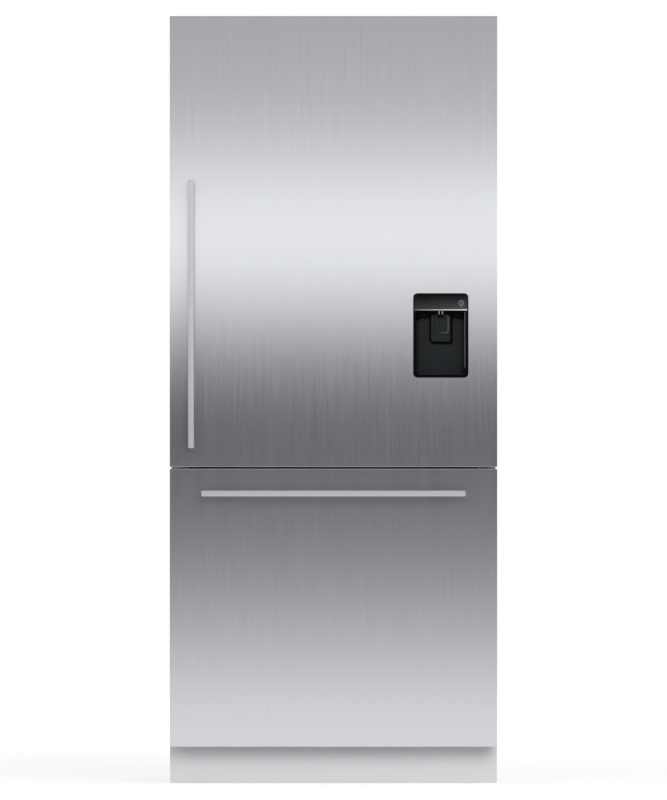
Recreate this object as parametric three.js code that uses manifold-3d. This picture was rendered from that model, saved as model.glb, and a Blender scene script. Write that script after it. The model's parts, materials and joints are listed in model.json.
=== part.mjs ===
// A bottom freezer refrigerator: a hinged upper door with a water and ice dispenser over a freezer drawer.
// Millimetres, +Z up, the front faces -Y. Inside the model y = 0 is the cabinet's front face, y grows to the rear,
// x = 0 is the middle of the front and z = 0 is the floor. Ranges are written [from, to].

import * as THREE from 'three';
import { mergeVertices } from 'three/addons/utils/BufferGeometryUtils.js';
import Module from 'manifold-3d';

// ---------------------------------------------------------------- driving dimensions

// General
const FIT = 0.3; // clearance between two pieces that sit on or in one another
const SHEET = 1.2; // folded sheet steel

// The front, from the floor up
const PANEL_WIDTH = 907;
const PLINTH_HEIGHT = 104; // floor to the lower edge of the drawer's panel
const DRAWER_HEIGHT = 770;
const PANEL_GAP = 5;
const DOOR_HEIGHT = 1249;

// Door and drawer fronts, in depth
const PANEL_THICKNESS = 20;
const PANEL_LIP = 15; // return flange round the back of a panel
const CORE_THICKNESS = 50;
const CORE_SIDE_REVEAL = 6; // the foamed core is narrower than its panel by this on each side
const CORE_BOTTOM_REVEAL = 9;
const DOOR_CORE_TOP_REVEAL = 22;
const DRAWER_CORE_TOP_REVEAL = 6;
const SEAL_SPACE = 8; // between the core's back and the cabinet's front
const GASKET_MARGIN = 5; // between the cabinet's mouth and the gasket's inner edge
const GASKET_WIDTH = 24;

// Cabinet
const CASE_SIDE_REVEAL = 3.5; // the case is narrower than the panels by this on each side
const CASE_TOP_REVEAL = 18; // the case's top is below the door panel's top by this
const CASE_FLOOR = 60;
const CASE_DEPTH = 552;
const LINER_WALL = 3;
const SIDE_WALL = 52; // case, foam and liner together
const TOP_WALL = 55;
const REAR_WALL = 72;
const FLOOR_WALL = 46; // freezer floor above the drawer panel's lower edge
const MULLION_BELOW = 49; // freezer ceiling below the drawer panel's upper edge
const MULLION_ABOVE = 46; // fridge floor above the door panel's lower edge

// Machine compartment, behind and under the freezer
const CHASSIS_SHEET = 3;
const CHASSIS_LOW = 45;
const CHASSIS_FRONT = 20;
const MACHINE_DEPTH = 217; // from the chassis's riser to the rear
const MACHINE_HEIGHT = 255; // above the chassis pan
const STEP_WALL = 39; // foam and liner over and before the machine compartment
const LOUVRE_COUNT = 9;
const LOUVRE_PITCH = 62;
const LOUVRE_SIZE = [44, 6];
const LOUVRE_ROWS = [150, 175, 200];

// Feet, rollers and toe kick
const FOOT_INSET = 80; // foot's middle from the case's side
const FOOT_Y = 50;
const FOOT_PAD = { radius: 22, height: 8 };
const FOOT_STEM = { radius: 6, rise: 40 };
const FOOT_NUT = { radius: 11, height: 8 };
const CHANNEL_DEPTH = 55; // lower flange of the chassis's front channel
const ROLLER_RADIUS = 25;
const ROLLER_WIDTH = 18;
const ROLLER_SETBACK = 52; // roller's middle before the rear
const ROLLER_GAP = 2;
const AXLE_RADIUS = 4;
const TOE_KICK_SETBACK = 60; // behind the drawer panel's front
const TOE_KICK_THICKNESS = 1.5;
const TOE_KICK_CLEARANCE = 2;
const TOE_KICK_TOP = 4; // it ends this far above the drawer panel's lower edge
const TOE_TAB = { inset: 153.5, width: 30, height: 30, drop: 18 };

// Hinges
const PIVOT_INSET = 16; // pivot from the panel's right edge
const PIVOT_DEPTH = 35; // pivot in front of the cabinet
const PIN_RADIUS = 5;
const PIN_LENGTH = 20; // in the door
const BRACKET_THICKNESS = 4;
const BRACKET_OUTER = 10; // bracket beyond the pivot, to the right
const BRACKET_FRONT = 13; // bracket before the pivot
const TOP_BRACKET = { inner: 40, rear: 70 };
const BOTTOM_BRACKET_INNER = 13;
const LEAF_THICKNESS = 2.5;
const LEAF_HEIGHT = 34;
const LEAF_WIDTH = 14;

// Handles
const BAR_WIDTH = 15.8;
const BAR_DEPTH = 12;
const BAR_CROWN = 3; // the bar's face bulges by this
const BAR_END_RADIUS = 6;
const HANDLE_FOOT = { length: 100, width: 9, depth: 30, taper: 12, inset: 2 };
const DOOR_HANDLE = { length: 739.5, fromEdge: 59, centreHeight: 422.3 };
const DRAWER_HANDLE = { length: 731, belowTop: 68.3 };

// Dispenser; its own frame is centred on its bezel, with y = 0 on the door panel's face
const DISPENSER_FROM_EDGE = 156.3; // its centre from the panel's right edge
const DISPENSER_HEIGHT_ON_DOOR = 364.2; // its centre above the panel's lower edge
const BEZEL = { width: 152, height: 233, radius: 11.5, proud: 1, depth: 20 };
const HOUSING_STEP = 4; // the box behind the bezel is smaller by this all round
const HOUSING_DEPTH = 48;
const HOUSING_WALL = 3;
const RECESS = { width: 132, below: 109, above: 67.8, radius: 8 };
const FASCIA = { height: 40, thickness: 4, margin: 2 };
const SPOUT = { width: 36, front: 6, depth: 15, height: 11 };
const NOZZLE = { radius: 5, length: 7 };
const PADDLE = { width: 54, thickness: 3, length: 79, y: 27, drop: 6 };
const PADDLE_PAD = { width: 42, height: 51, thickness: 2, below: 6, radius: 7 };
const PADDLE_BARREL = 3;
const PADDLE_PIN = 2;
const LUG = { thickness: 4, depth: 10, height: 11 };

// Door liner and bins
const DYKE_CLEARANCE = 13; // from the fridge's wall
const DYKE_WIDTH = 15;
const DYKE_DEPTH = 60; // into the fridge
const DYKE_FLOOR = 20; // above the fridge's floor
const DYKE_TOP = 15;
const BIN_WALL = 2.5;
const BIN_REACH = 125; // into the fridge
const BIN_HEIGHT = 120;
const BIN_FLOORS = { door_bin_bottom: 40, door_bin_middle: 420, door_bin_top: 780 };

// Inside the fridge
const SHELF_FRONT = 140;
const SHELF_REAR_GAP = 30; // for the air that rises behind the shelves
const SHELF_THICKNESS = 5;
const SHELF_TRIM = { depth: 14, height: 16 };
const SHELF_FLOORS = { shelf_lower: 435, shelf_middle: 665, shelf_upper: 895 };
const LEDGE = { width: 10, height: 6 };
const CRISPER_COVER_FLOOR = 208;
const CRISPER = { height: 193, wall: 3, gap: 6, sideGap: 5, rearGap: 5, setback: 5 };
const CRISPER_GRIP = { width: 150, height: 22, depth: 10 };
const TOWER = { width: 120, depth: 24, floor: 250, top: 25 };
const LAMP = { width: 300, depth: 120, height: 12, front: 180 };

// Inside the freezer
const RAIL = { width: 10, height: 44, front: 8, rearGap: 20, lip: 8, web: 4 };
const SLIDE_LIP = 8;
const SLIDE_WEB = 5;
const RAIL_CENTRE = 470; // above the freezer's floor
const SLIDE_PROUD = 3.7; // the middle member stands out of its rail by this
const ARM_PROUD = 7; // the drawer's arm stands out of the middle member by this
const FRAME_PLATE = { thickness: 3, height: 60 };
const BIN_SIDE_GAP = 17; // between the freezer bin's wall and the drawer's arm
const FREEZER_BIN = { floor: 15, front: 10, rearGap: 8, wall: 2.5, rim: 4 };
const TRAY = { height: 105, front: 15, rearGap: 18, sideGap: 13, wall: 2.5, aboveRail: 12 };
const TRAY_LEDGE = { width: 23, height: 8 };
const DUCT_COVER = { depth: 62, thickness: 3 }; // depth is the duct's, from the cover's face to the liner
const DUCT_SLOT = { width: 60, height: 8, pitch: 90, count: 7, above: 40 };
const EVAPORATOR = { sideGap: 148, depth: 46, height: 210, above: 80, finPitch: 50 };
const ICE_MAKER = { width: 190, depth: 200, height: 57, sideGap: 8, rearGap: 28 };

// Fans; each turns on a shaft held by a spider of four arms
const FAN_HUB = 16;
const FAN_BLADES = 5;
const BLADE_THICKNESS = 2;
const BLADE_PITCH = 32; // degrees
const FAN_TIP_GAP = 4;
const SHAFT_RADIUS = 3;
const SPIDER_ARM = 6;
const SPIDER_THICKNESS = 4;
const CONDENSER_FAN = { radius: 75, depth: 22 };
const EVAPORATOR_FAN = { radius: 45, depth: 18, below: 65 };

// Machinery
const COMPRESSOR = { inset: 198.5, behind: 105, radius: 80, height: 165, dome: 45, base: [200, 170], foot: 3 };
const CONDENSER = { inset: 253.5, width: 270, behind: 17, depth: 62, height: 180, fins: 9, fin: 1.5, tube: 5, tubes: 2 };
const SHROUD = { depth: 40, gap: 3, height: 190 };
const DRIP_TRAY = { sideGap: 20, behind: 15, depth: 180, height: 40, wall: 2 };
const CONTROL_BOX = { width: 80, depth: 90, height: 140, behind: 115, above: 95 };
const INLET = { inset: 55, z: 110, width: 46, height: 30, depth: 30 };
const VALVE = { inset: 45, z: 115, width: 36, height: 50, depth: 30, pipe: 8 };

// ---------------------------------------------------------------- places worked out from the sizes

const centred = (size, at = 0) => [at - size / 2, at + size / 2];
const grow = ([from, to], by) => [from - by, to + by];
const middle = ([from, to]) => (from + to) / 2;
const OVERCUT = 1; // a cutting shape runs past the face that it cuts by this

const PANEL_X = centred(PANEL_WIDTH);
const DRAWER_Z = [PLINTH_HEIGHT, PLINTH_HEIGHT + DRAWER_HEIGHT];
const DOOR_Z = [DRAWER_Z[1] + PANEL_GAP, DRAWER_Z[1] + PANEL_GAP + DOOR_HEIGHT];

const CORE_BACK = -SEAL_SPACE;
const CORE_FRONT = CORE_BACK - CORE_THICKNESS;
const PANEL_BACK = CORE_FRONT - FIT;
const PANEL_FRONT = PANEL_BACK - PANEL_THICKNESS;
const BEHIND_CORE = CORE_BACK + FIT; // where a piece that is fixed to a core's back begins
const CORE_X = grow(PANEL_X, -CORE_SIDE_REVEAL);
const DOOR_CORE_Z = [DOOR_Z[0] + CORE_BOTTOM_REVEAL, DOOR_Z[1] - DOOR_CORE_TOP_REVEAL];
const DRAWER_CORE_Z = [DRAWER_Z[0] + CORE_BOTTOM_REVEAL, DRAWER_Z[1] - DRAWER_CORE_TOP_REVEAL];

const CASE_X = grow(PANEL_X, -CASE_SIDE_REVEAL);
const CASE_TOP = DOOR_Z[1] - CASE_TOP_REVEAL;
const CASE_REAR = CASE_DEPTH - SHEET - FIT;
const CASE_INSIDE_X = grow(CASE_X, -SHEET - FIT);
const CAVITY_X = grow(CASE_X, -SIDE_WALL);
const CAVITY_REAR = CASE_DEPTH - REAR_WALL;
const MACHINE_FRONT = CASE_DEPTH - MACHINE_DEPTH;
const ROLLER_Y = CASE_DEPTH - ROLLER_SETBACK;
const FOOT_X = CASE_X[1] - FOOT_INSET;
const PAN_TOP = CHASSIS_LOW + CHASSIS_SHEET;
const ON_PAN = PAN_TOP + FIT;
const MACHINE_TOP = PAN_TOP + MACHINE_HEIGHT;
const DECK_TOP = PLINTH_HEIGHT + CHASSIS_SHEET;
const FREEZER = {
  x: CAVITY_X,
  z: [DRAWER_Z[0] + FLOOR_WALL, DRAWER_Z[1] - MULLION_BELOW],
  step: { front: MACHINE_FRONT - CHASSIS_SHEET - STEP_WALL, top: MACHINE_TOP + CHASSIS_SHEET + STEP_WALL },
};
const FRIDGE = {
  x: CAVITY_X,
  z: [DOOR_Z[0] + MULLION_ABOVE, CASE_TOP - TOP_WALL],
};

const PIVOT_X = PANEL_X[1] - PIVOT_INSET;
const PIVOT_Y = -PIVOT_DEPTH;

const SHELF_X = grow(CAVITY_X, -FIT);
const SHELF_REAR = CAVITY_REAR - SHELF_REAR_GAP;
const DUCT_FRONT = CAVITY_REAR - DUCT_COVER.depth;
const RAIL_Z = FREEZER.z[0] + RAIL_CENTRE;
const RAIL_OUTER = CAVITY_X[1] - FIT;
const RAIL_RUN = [RAIL.front, DUCT_FRONT - RAIL.rearGap];
const RAIL_LENGTH = RAIL_RUN[1] - RAIL_RUN[0];
const SLIDE_WIDTH = RAIL.width - RAIL.web - FIT + SLIDE_PROUD;
const SLIDE_HEIGHT = RAIL.height - 2 * RAIL.lip - 2 * FIT;
const SLIDE_OUTER = RAIL_OUTER - RAIL.web - FIT;
const ARM_OUTER = SLIDE_OUTER - SLIDE_WEB - FIT;
const ARM_INNER = SLIDE_OUTER - SLIDE_WIDTH - ARM_PROUD;
const ARM_HEIGHT = SLIDE_HEIGHT - 2 * SLIDE_LIP - 2 * FIT;
const TRAY_FLOOR = RAIL_Z + RAIL.height / 2 + TRAY.aboveRail;

const COMPRESSOR_AT = [CASE_INSIDE_X[0] + COMPRESSOR.inset, MACHINE_FRONT + COMPRESSOR.behind, ON_PAN];
const CONDENSER_X = CASE_INSIDE_X[1] - CONDENSER.inset;
const CONDENSER_Y = [MACHINE_FRONT + CONDENSER.behind, MACHINE_FRONT + CONDENSER.behind + CONDENSER.depth];
const INLET_X = CASE_X[1] - INLET.inset;
const VALVE_X = CASE_X[0] + VALVE.inset;

// ---------------------------------------------------------------- materials

const material = (color, metalness, roughness) =>
  new THREE.MeshStandardMaterial({ color, metalness, roughness });

const steel = material(0xb4b7ba, 1, 0.3);
const handleSteel = material(0xc8cacc, 1, 0.25);
const toeSteel = material(0xb8babc, 1, 0.35);
const blackGloss = material(0x1a1c1e, 0, 0.12);
const blackSatin = material(0x24262a, 0, 0.4);
const casePaint = material(0x6f7377, 0.2, 0.5);
const zinc = material(0x9fa4a8, 0.9, 0.45);
const bracketSteel = material(0x8b8f93, 0.9, 0.4);
const foam = material(0xe6d9ae, 0, 0.9);
const doorFoam = material(0x4c4f52, 0, 0.6);
const linerWhite = material(0xeef0f1, 0, 0.35);
const rubberGrey = material(0x505357, 0, 0.8);
const clearPlastic = material(0xdfe8ec, 0, 0.1);
const frostedPlastic = material(0xe6ebee, 0, 0.35);
const shelfGlass = material(0xcfe3e0, 0, 0.05);
const lampCover = material(0xfafafa, 0, 0.5);
const blackEnamel = material(0x151515, 0.2, 0.4);
const finAluminium = material(0xc9ccce, 0.9, 0.4);
const fanPlastic = material(0x2d2f31, 0, 0.6);
const greyPlastic = material(0x7d8286, 0, 0.6);
const footRubber = material(0x2a2a2a, 0, 0.8);

// ---------------------------------------------------------------- solid shapes

const wasm = await Module();
wasm.setup();

// A solid made from a three.js geometry
function solidOf(geometry) {
  const bare = geometry.clone();
  bare.deleteAttribute('normal');
  bare.deleteAttribute('uv');
  const merged = mergeVertices(bare);
  const vertProperties = new Float32Array(merged.getAttribute('position').array);
  const triVerts = new Uint32Array(merged.index.array);
  return new wasm.Manifold(new wasm.Mesh({ numProp: 3, vertProperties, triVerts }));
}

// The three.js geometry of a solid
function geometryOf(solid) {
  const { vertProperties, triVerts } = solid.getMesh();
  const geometry = new THREE.BufferGeometry();
  geometry.setAttribute('position', new THREE.BufferAttribute(vertProperties, 3));
  geometry.setIndex(new THREE.BufferAttribute(triVerts, 1));
  geometry.computeVertexNormals();
  return geometry;
}

const joined = (solids) => solids.reduce((whole, solid) => whole.add(solid));

// A box between [from, to] on each axis
function block(x, y, z) {
  const geometry = new THREE.BoxGeometry(x[1] - x[0], y[1] - y[0], z[1] - z[0]);
  geometry.translate(middle(x), middle(y), middle(z));
  return solidOf(geometry);
}

// Where a flat shape's x, y and thickness go when it is drawn across each axis
const ACROSS = {
  x: new THREE.Matrix4().makeBasis(
    new THREE.Vector3(0, 1, 0), new THREE.Vector3(0, 0, 1), new THREE.Vector3(1, 0, 0)),
  y: new THREE.Matrix4().makeBasis(
    new THREE.Vector3(1, 0, 0), new THREE.Vector3(0, 0, 1), new THREE.Vector3(0, -1, 0)),
  z: new THREE.Matrix4(),
};

// A flat shape, drawn in the two other axes in X, Y, Z order, made thick along one axis
function prism(axis, shape, [from, to], curveSegments = 6) {
  const geometry = new THREE.ExtrudeGeometry(shape, { depth: to - from, bevelEnabled: false, curveSegments });
  geometry.translate(0, 0, axis === 'y' ? -to : from);
  geometry.applyMatrix4(ACROSS[axis]);
  return solidOf(geometry);
}

// A round bar along one axis through a point of the two others
function rod(axis, [a, b], radius, range, sides = 24) {
  const shape = new THREE.Shape().absarc(a, b, radius, 0, 2 * Math.PI);
  return prism(axis, shape, range, sides / 2);
}

function roundedRectangle([left, right], [low, high], radius) {
  const shape = new THREE.Shape();
  shape.absarc(right - radius, low + radius, radius, -Math.PI / 2, 0);
  shape.absarc(right - radius, high - radius, radius, 0, Math.PI / 2);
  shape.absarc(left + radius, high - radius, radius, Math.PI / 2, Math.PI);
  shape.absarc(left + radius, low + radius, radius, Math.PI, 1.5 * Math.PI);
  shape.closePath();
  return shape;
}

// An open box of even wall
function tub(x, y, z, wall) {
  return block(x, y, z).subtract(block(grow(x, -wall), grow(y, -wall), [z[0] + wall, z[1] + OVERCUT]));
}

// A channel of C section along y, centred on its own origin, with its back to the right
function channel(width, height, length, lip, web) {
  const whole = block([-width, 0], centred(length), centred(height));
  const groove = block([-width - OVERCUT, -web], centred(length + 2 * OVERCUT), centred(height - 2 * lip));
  return whole.subtract(groove);
}

// ---------------------------------------------------------------- scene helpers

function piece(name, solid, look, position = [0, 0, 0]) {
  const mesh = new THREE.Mesh(geometryOf(solid), look);
  mesh.name = name;
  mesh.position.set(...position);
  return mesh;
}

function group(children, position = [0, 0, 0]) {
  const result = new THREE.Group();
  result.add(...children);
  result.position.set(...position);
  return result;
}

// ---------------------------------------------------------------- cabinet

// A compartment grown by a margin, from a given y to its rear; the freezer has a step over the machinery
function compartment({ x, z, step }, margin, front) {
  const body = block(grow(x, margin), [front, CAVITY_REAR + margin], grow(z, margin));
  if (!step) {
    return body;
  }
  const under = [z[0] - margin - OVERCUT, step.top - margin];
  const behind = [step.front + margin, CAVITY_REAR + margin + OVERCUT];
  return body.subtract(block(grow(x, margin + OVERCUT), behind, under));
}

// The part of the case's front face that a liner passes through
function mouth({ x, z }) {
  const margin = LINER_WALL + FIT;
  return block(grow(x, margin), [-OVERCUT, SHEET + OVERCUT], grow(z, margin));
}

function cabinetCase() {
  const outer = block(CASE_X, [0, CASE_REAR], [CASE_FLOOR, CASE_TOP]);
  const inner = block(
    grow(CASE_X, -SHEET), [SHEET, CASE_REAR + OVERCUT], [CASE_FLOOR - OVERCUT, CASE_TOP - SHEET]);
  return outer.subtract(inner).subtract(mouth(FRIDGE)).subtract(mouth(FREEZER));
}

function rearPanel() {
  const thickness = [CASE_DEPTH - SHEET, CASE_DEPTH];
  const through = grow(thickness, OVERCUT);
  const sheet = block(CASE_X, thickness, [CASE_FLOOR, CASE_TOP]);
  const slots = LOUVRE_ROWS.flatMap((height) => Array.from({ length: LOUVRE_COUNT }, (_, i) => {
    const at = (i - (LOUVRE_COUNT - 1) / 2) * LOUVRE_PITCH;
    return block(centred(LOUVRE_SIZE[0], at), through, centred(LOUVRE_SIZE[1], CHASSIS_LOW + height));
  }));
  const inletHole = block(
    centred(INLET.width + 2 * FIT, INLET_X), through, centred(INLET.height + 2 * FIT, INLET.z));
  const valveHole = rod('y', [VALVE_X, VALVE.z], VALVE.pipe + FIT, through);
  return sheet.subtract(joined([...slots, inletHole, valveHole]));
}

function foamInsulation() {
  const body = block(
    CASE_INSIDE_X, [SHEET + FIT, CASE_REAR], [DECK_TOP + FIT, CASE_TOP - SHEET - FIT]);
  const front = SHEET + FIT - OVERCUT;
  const machinery = block(
    grow(CASE_INSIDE_X, OVERCUT),
    [MACHINE_FRONT - CHASSIS_SHEET - FIT, CASE_REAR + OVERCUT],
    [DECK_TOP - OVERCUT, MACHINE_TOP + CHASSIS_SHEET + FIT]);
  return body
    .subtract(compartment(FRIDGE, LINER_WALL + FIT, front))
    .subtract(compartment(FREEZER, LINER_WALL + FIT, front))
    .subtract(machinery);
}

function liner(space) {
  return compartment(space, LINER_WALL, 0).subtract(compartment(space, 0, -OVERCUT));
}

// A pair of ledges moulded into the side walls of a liner, with their top just under a given height
function ledges(width, y, height, under) {
  const z = [under - FIT - height, under - FIT];
  const inWall = CAVITY_X[1] + LINER_WALL / 2;
  return block([CAVITY_X[1] - width, inWall], y, z).add(block([-inWall, width - CAVITY_X[1]], y, z));
}

function fridgeLiner() {
  const shelfFloors = [...Object.values(SHELF_FLOORS), CRISPER_COVER_FLOOR];
  const supports = shelfFloors.map((height) =>
    ledges(LEDGE.width, [SHELF_FRONT, SHELF_REAR], LEDGE.height, FRIDGE.z[0] + height));
  return joined([liner(FRIDGE), ...supports]);
}

function freezerLiner() {
  return liner(FREEZER).add(ledges(TRAY_LEDGE.width, RAIL_RUN, TRAY_LEDGE.height, TRAY_FLOOR));
}

// Folded sheet: a deck under the freezer, a pan under the machinery, side rails and a front channel
function baseChassis() {
  const x = CASE_INSIDE_X;
  const rear = CASE_REAR;
  const deck = block(x, [CHASSIS_FRONT, MACHINE_FRONT], [PLINTH_HEIGHT, DECK_TOP]);
  const riser = block(
    x, [MACHINE_FRONT - CHASSIS_SHEET, MACHINE_FRONT], [CHASSIS_LOW, MACHINE_TOP + CHASSIS_SHEET]);
  const ceiling = block(
    x, [MACHINE_FRONT - CHASSIS_SHEET, rear], [MACHINE_TOP, MACHINE_TOP + CHASSIS_SHEET]);
  const pan = block(x, [MACHINE_FRONT - CHASSIS_SHEET, rear], [CHASSIS_LOW, PAN_TOP]);
  const front = block(x, [CHASSIS_FRONT, CHASSIS_FRONT + CHASSIS_SHEET], [CHASSIS_LOW, DECK_TOP]);
  const flange = block(x, [CHASSIS_FRONT, CHASSIS_FRONT + CHANNEL_DEPTH], [CHASSIS_LOW, PAN_TOP]);
  const rails = [
    block([x[0], x[0] + CHASSIS_SHEET], [CHASSIS_FRONT, rear], [CHASSIS_LOW, DECK_TOP]),
    block([x[1] - CHASSIS_SHEET, x[1]], [CHASSIS_FRONT, rear], [CHASSIS_LOW, DECK_TOP]),
  ];
  // room for the rollers, which hang on axles under the side rails
  const wheelHalf = ROLLER_RADIUS + 4 * ROLLER_GAP;
  const insideRail = x[1] - CHASSIS_SHEET;
  const wheelRun = [insideRail - ROLLER_WIDTH - 4 * ROLLER_GAP, insideRail];
  const wheelWells = [wheelRun, [-wheelRun[1], -wheelRun[0]]].map((across) =>
    block(across, centred(2 * wheelHalf, ROLLER_Y), [CHASSIS_LOW - OVERCUT, PAN_TOP + OVERCUT]));
  const stemHoles = [-FOOT_X, FOOT_X].map((at) =>
    rod('z', [at, FOOT_Y], FOOT_STEM.radius + FIT, grow([CHASSIS_LOW, PAN_TOP], OVERCUT)));
  const hangerLow = ROLLER_RADIUS - 2 * AXLE_RADIUS;
  const hangers = [[x[0], x[0] + CHASSIS_SHEET], [insideRail, x[1]]].map((across) =>
    block(across, centred(6 * AXLE_RADIUS, ROLLER_Y), [hangerLow, CHASSIS_LOW + OVERCUT]));
  const reach = ROLLER_WIDTH + 2 * ROLLER_GAP;
  const axles = [[insideRail - reach, x[1]], [x[0], reach - insideRail]].map((across) =>
    rod('x', [ROLLER_Y, ROLLER_RADIUS], AXLE_RADIUS, across));
  return joined([deck, riser, ceiling, pan, front, flange, ...rails])
    .subtract(joined([...wheelWells, ...stemHoles]))
    .add(joined([...hangers, ...axles]));
}

// A sheet with two tabs that reach back to the case's lower front rail
function toeKick() {
  const face = PANEL_FRONT + TOE_KICK_SETBACK;
  const z = [TOE_KICK_CLEARANCE, PLINTH_HEIGHT + TOE_KICK_TOP];
  const sheet = block(PANEL_X, [face, face + TOE_KICK_THICKNESS], z);
  const tabX = PANEL_X[1] - TOE_TAB.inset;
  const tabs = [-tabX, tabX].map((at) => {
    const top = PLINTH_HEIGHT - TOE_TAB.drop;
    return block(centred(TOE_TAB.width, at), [face, -FIT], [top - TOE_TAB.height, top]);
  });
  return joined([sheet, ...tabs]);
}

function levellingFoot() {
  const nutTop = CHASSIS_LOW - FIT;
  const pad = rod('z', [0, 0], FOOT_PAD.radius, [0, FOOT_PAD.height]);
  const stem = rod('z', [0, 0], FOOT_STEM.radius, [0, CHASSIS_LOW + FOOT_STEM.rise], 16);
  const nut = rod('z', [0, 0], FOOT_NUT.radius, [nutTop - FOOT_NUT.height, nutTop], 6);
  return joined([pad, stem, nut]);
}

function roller() {
  const half = ROLLER_WIDTH / 2;
  const wheel = rod('x', [0, 0], ROLLER_RADIUS, [-half, half], 32);
  return wheel.subtract(rod('x', [0, 0], AXLE_RADIUS + FIT, grow([-half, half], OVERCUT)));
}

function cabinet() {
  const rollerX = CASE_INSIDE_X[1] - CHASSIS_SHEET - ROLLER_GAP - ROLLER_WIDTH / 2;
  return group([
    piece('cabinet_case', cabinetCase(), casePaint),
    piece('rear_panel', rearPanel(), zinc),
    piece('foam_insulation', foamInsulation(), foam),
    piece('fridge_liner', fridgeLiner(), linerWhite),
    piece('freezer_liner', freezerLiner(), linerWhite),
    piece('base_chassis', baseChassis(), zinc),
    piece('toe_kick', toeKick(), toeSteel),
    piece('front_foot_left', levellingFoot(), footRubber, [-FOOT_X, FOOT_Y, 0]),
    piece('front_foot_right', levellingFoot(), footRubber, [FOOT_X, FOOT_Y, 0]),
    piece('rear_roller_left', roller(), greyPlastic, [-rollerX, ROLLER_Y, ROLLER_RADIUS]),
    piece('rear_roller_right', roller(), greyPlastic, [rollerX, ROLLER_Y, ROLLER_RADIUS]),
  ]);
}

// ---------------------------------------------------------------- fans

// Blades round a hub, turning about y, in front of y = 0; the hub has a blind bore for the shaft at its rear
function fan({ radius, depth }) {
  const hub = rod('y', [0, 0], FAN_HUB, [-depth, 0]);
  const tip = radius - FAN_TIP_GAP;
  const blades = Array.from({ length: FAN_BLADES }, (_, i) => {
    const blade = new THREE.BoxGeometry(tip - FAN_HUB / 2, BLADE_THICKNESS, depth);
    blade.rotateX(THREE.MathUtils.degToRad(BLADE_PITCH));
    blade.translate((tip + FAN_HUB / 2) / 2, -depth / 2, 0);
    blade.rotateY((2 * Math.PI * i) / FAN_BLADES);
    return solidOf(blade);
  });
  const bore = rod('y', [0, 0], SHAFT_RADIUS + FIT, [BLADE_THICKNESS - depth, OVERCUT], 16);
  return joined([hub, ...blades]).subtract(bore);
}

// Four arms across a round opening, in front of a given y, with the fan's shaft standing forward
function spider({ radius, depth }, rear) {
  const reach = centred(2 * (radius + OVERCUT));
  const y = [rear - SPIDER_THICKNESS, rear];
  const tip = rear - SPIDER_THICKNESS - FIT - depth + BLADE_THICKNESS + FIT;
  return joined([
    block(reach, y, centred(SPIDER_ARM)),
    block(centred(SPIDER_ARM), y, reach),
    rod('y', [0, 0], SHAFT_RADIUS, [tip, rear], 16),
  ]);
}

// ---------------------------------------------------------------- machine compartment

function compressor() {
  const { radius, height, dome, base, foot } = COMPRESSOR;
  const profile = new THREE.Path().moveTo(0, 0);
  profile.lineTo(radius, 0);
  profile.lineTo(radius, height - dome);
  profile.absellipse(0, height - dome, radius, dome, 0, Math.PI / 2);
  const shell = new THREE.LatheGeometry(profile.getPoints(3), 24);
  shell.applyMatrix4(new THREE.Matrix4().makeRotationX(Math.PI / 2));
  return solidOf(shell).add(block(centred(base[0]), centred(base[1]), [0, foot]));
}

// Plain fins on straight tubes
function condenser() {
  const { width, height, fins, fin, tube, tubes } = CONDENSER;
  const plates = Array.from({ length: fins }, (_, i) => {
    const at = CONDENSER_X + (i / (fins - 1) - 0.5) * (width - fin);
    return block(centred(fin, at), CONDENSER_Y, [ON_PAN, ON_PAN + height]);
  });
  const pipes = Array.from({ length: tubes }, (_, i) => rod(
    'x', [middle(CONDENSER_Y), ON_PAN + (height * (i + 0.5)) / tubes], tube, centred(width, CONDENSER_X), 8));
  return joined([...plates, ...pipes]);
}

// A frame behind the condenser, from the pan to over the fan, with the fan's opening and spider
function condenserFanShroud() {
  const x = centred(CONDENSER.width, 0);
  const y = [-SHROUD.depth, 0];
  const z = centred(SHROUD.height);
  const opening = rod('y', [0, 0], CONDENSER_FAN.radius, grow(y, OVERCUT), 32);
  return block(x, y, z).subtract(opening).add(spider(CONDENSER_FAN, 0));
}

function controlBox() {
  const right = CASE_INSIDE_X[1];
  const z = [PAN_TOP + CONTROL_BOX.above, PAN_TOP + CONTROL_BOX.above + CONTROL_BOX.height];
  const front = MACHINE_FRONT + CONTROL_BOX.behind;
  return block([right - CONTROL_BOX.width, right], [front, front + CONTROL_BOX.depth], z);
}

// A cup with three contact blades, set in the rear panel
function powerInlet() {
  const x = centred(INLET.width, INLET_X);
  const z = centred(INLET.height, INLET.z);
  const wall = INLET.height / 8;
  const cup = block(x, [CASE_DEPTH - INLET.depth, CASE_DEPTH], z)
    .subtract(block(grow(x, -wall), [CASE_DEPTH - INLET.depth + wall, CASE_DEPTH + OVERCUT], grow(z, -wall)));
  const blades = [-1, 0, 1].map((side) => block(
    centred(wall / 2, INLET_X + (side * INLET.width) / 4),
    [CASE_DEPTH - INLET.depth, CASE_DEPTH - wall],
    centred(2 * wall, INLET.z)));
  return joined([cup, ...blades]);
}

// A solenoid valve behind the rear panel, with its threaded inlet through the panel
function waterValve() {
  const rear = CASE_DEPTH - SHEET - FIT;
  const body = block(centred(VALVE.width, VALVE_X), [rear - VALVE.depth, rear], centred(VALVE.height, VALVE.z));
  return body.add(rod('y', [VALVE_X, VALVE.z], VALVE.pipe, [rear - OVERCUT, CASE_DEPTH]));
}

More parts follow.
